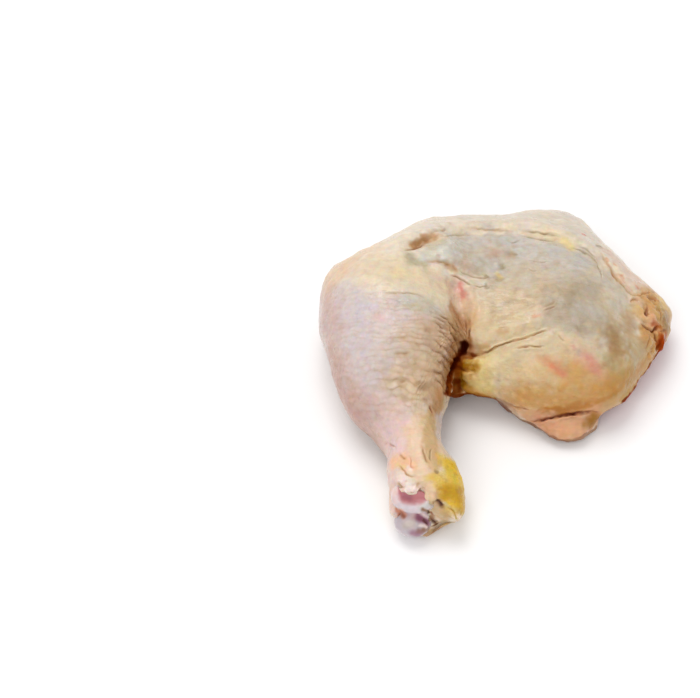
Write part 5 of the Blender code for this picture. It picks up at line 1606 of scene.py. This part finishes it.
class LEGQUARTER_OT_skin(bpy.types.Operator):
    """Builds the thigh and drumstick in their skin, with folds, bumps, fat and the bare cut edges"""

    bl_idname = "leg_quarter.skin"
    bl_label = "Skin and meat"

    def execute(self, context):
        sizes = context.scene.leg_sizes
        leg = fine_piece("skin_and_meat", joined_forms(), sizes.grain / MM, sizes.passes)
        bone = Surface(fine_copy_of_bone("bone_shape", sizes))
        hug(Surface(leg), bone)
        bpy.data.objects.remove(bone.obj)
        fold_zones = tuple((3.2 * half_width + 0.8, line) for _, _, half_width, _, _, _, line in FOLDS)
        surface = refine(Surface(leg), FINE_ZONES + fold_zones)
        surface.uneven = lumps(surface.points, *NOISES["uneven"])
        surface.crook = lumps(surface.points, *NOISES["crook"])
        surface.small = lumps(surface.points, *NOISES["small"])
        made = shape_skin(surface, sizes)
        paint_skin(surface, made)
        surface.finish(skin_masks(surface, made))
        for name, gloss_level, film_weight in (
            ("raw chicken skin, moist", 0.4, 0.15),
            ("fat in the depth of a fold, dull", 0.0, 0.0),
        ):
            leg.data.materials.append(moist_skin(name, gloss_level, film_weight))
        surface.lay_material(1, dull_places(surface))
        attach(leg, "root")
        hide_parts("leg_quarter")
        return {"FINISHED"}


def fine_copy_of_bone(name, sizes):
    """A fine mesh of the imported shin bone."""
    bm = bmesh.new()
    bm.from_mesh(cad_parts["shin_bone"].data)
    return fine_piece(name, bm, sizes.bone_grain / MM, sizes.bone_passes)


class LEGQUARTER_OT_knuckle(bpy.types.Operator):
    """Builds the shin bone with its knuckle of cartilage, which shows at the cut hock"""

    bl_idname = "leg_quarter.knuckle"
    bl_label = "Shin bone"

    def execute(self, context):
        bone = fine_copy_of_bone("shin_bone_knuckle", context.scene.leg_sizes)
        surface = Surface(bone)
        surface.uneven = 0.4 * lumps(surface.points, *NOISES["bone_uneven"])
        surface.crook = 0.3 * lumps(surface.points, *NOISES["bone_crook"])
        surface.small = np.zeros(len(surface.points))
        surface.paint("cartilage", np.ones(len(surface.points)))
        heights = np.zeros(len(surface.points))
        for tint, cover, radius, softness, height, points in KNUCKLE_FIELDS:
            index, weight = surface.blot(surface.trace(points, 1.5), radius, softness)
            surface.paint(tint, cover * weight, index)
            heights[index] += height * weight
        surface.push(heights + RELIEF["bone"] * surface.uneven)
        surface.finish({"wet": np.ones(len(surface.points))})
        bone.data.materials.append(wet_cartilage())
        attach(bone, "root")
        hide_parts("shin_bone")
        return {"FINISHED"}


class LEGQUARTER_OT_stage(bpy.types.Operator):
    """Sets the pale floor, the soft light and the photograph's camera"""

    bl_idname = "leg_quarter.stage"
    bl_label = "Floor, light and camera"

    def execute(self, context):
        scene = context.scene
        mesh = bpy.data.meshes.new("floor")
        corners = [(x * FLOOR_HALF, y * FLOOR_HALF, 0) for x, y in ((-1, -1), (1, -1), (1, 1), (-1, 1))]
        mesh.from_pydata(corners, [], [(0, 1, 2, 3)])
        floor = bpy.data.objects.new("floor", mesh)
        scene.collection.objects.link(floor)
        material, tree, shader = new_material("white studio floor")
        feed(tree, shader, Base_Color=(*linear(FLOOR_WHITE), 1), Roughness=0.9)
        mesh.materials.append(material)

        world = bpy.data.worlds.new("white room")
        world.use_nodes = True
        background = world.node_tree.nodes["Background"]
        feed(world.node_tree, background, Color=(1, 1, 1, 1), Strength=ROOM_LIGHT * OVER_WHITE)
        scene.world = world
        for name, place, size, power in SOFT_BOXES:
            light = bpy.data.lights.new(name, "AREA")
            light.size = size
            light.energy = power * OVER_WHITE
            lamp = bpy.data.objects.new(name, light)
            lamp.location = place
            lamp.rotation_euler = (-Vector(place)).to_track_quat("-Z", "Y").to_euler()
            scene.collection.objects.link(lamp)

        camera = bpy.data.cameras.new("camera")
        camera.lens = lens()
        camera.sensor_width = SENSOR
        viewer = bpy.data.objects.new("camera", camera)
        viewer.location = camera_place() * MM
        viewer.rotation_euler = (math.radians(90 - VIEW_ELEVATION), 0, 0)
        scene.collection.objects.link(viewer)
        scene.camera = viewer
        scene.view_settings.view_transform = "Standard"
        return {"FINISHED"}


class LEGQUARTER_PT_build(bpy.types.Panel):
    """Lists the leg's pieces in the order in which they are built"""

    bl_idname = "LEGQUARTER_PT_build"
    bl_label = "Leg Quarter"
    bl_space_type = "VIEW_3D"
    bl_region_type = "UI"
    bl_category = "Leg Quarter"

    def draw(self, context):
        for operator in OPERATORS:
            self.layout.operator(operator.bl_idname)
        groups = (context.scene.leg_sizes, LegSizes.__annotations__), (context.scene.leg_tints, TINTS)
        for group, names in groups:
            column = self.layout.column()
            for name in names:
                column.prop(group, name)


OPERATORS = (LEGQUARTER_OT_skin, LEGQUARTER_OT_knuckle, LEGQUARTER_OT_stage)
CLASSES = (LegSizes, LegTints, *OPERATORS, LEGQUARTER_PT_build)


def register():
    """Registers the classes and hangs the settings on the scene."""
    for cls in CLASSES:
        bpy.utils.register_class(cls)
    bpy.types.Scene.leg_sizes = PointerProperty(type=LegSizes)
    bpy.types.Scene.leg_tints = PointerProperty(type=LegTints)


def unregister():
    """Takes the settings and classes away again."""
    del bpy.types.Scene.leg_tints
    del bpy.types.Scene.leg_sizes
    for cls in reversed(CLASSES):
        bpy.utils.unregister_class(cls)


def main():
    register()
    bpy.ops.leg_quarter.skin()
    bpy.ops.leg_quarter.knuckle()
    bpy.ops.leg_quarter.stage()


if __name__ == "__main__":
    main()
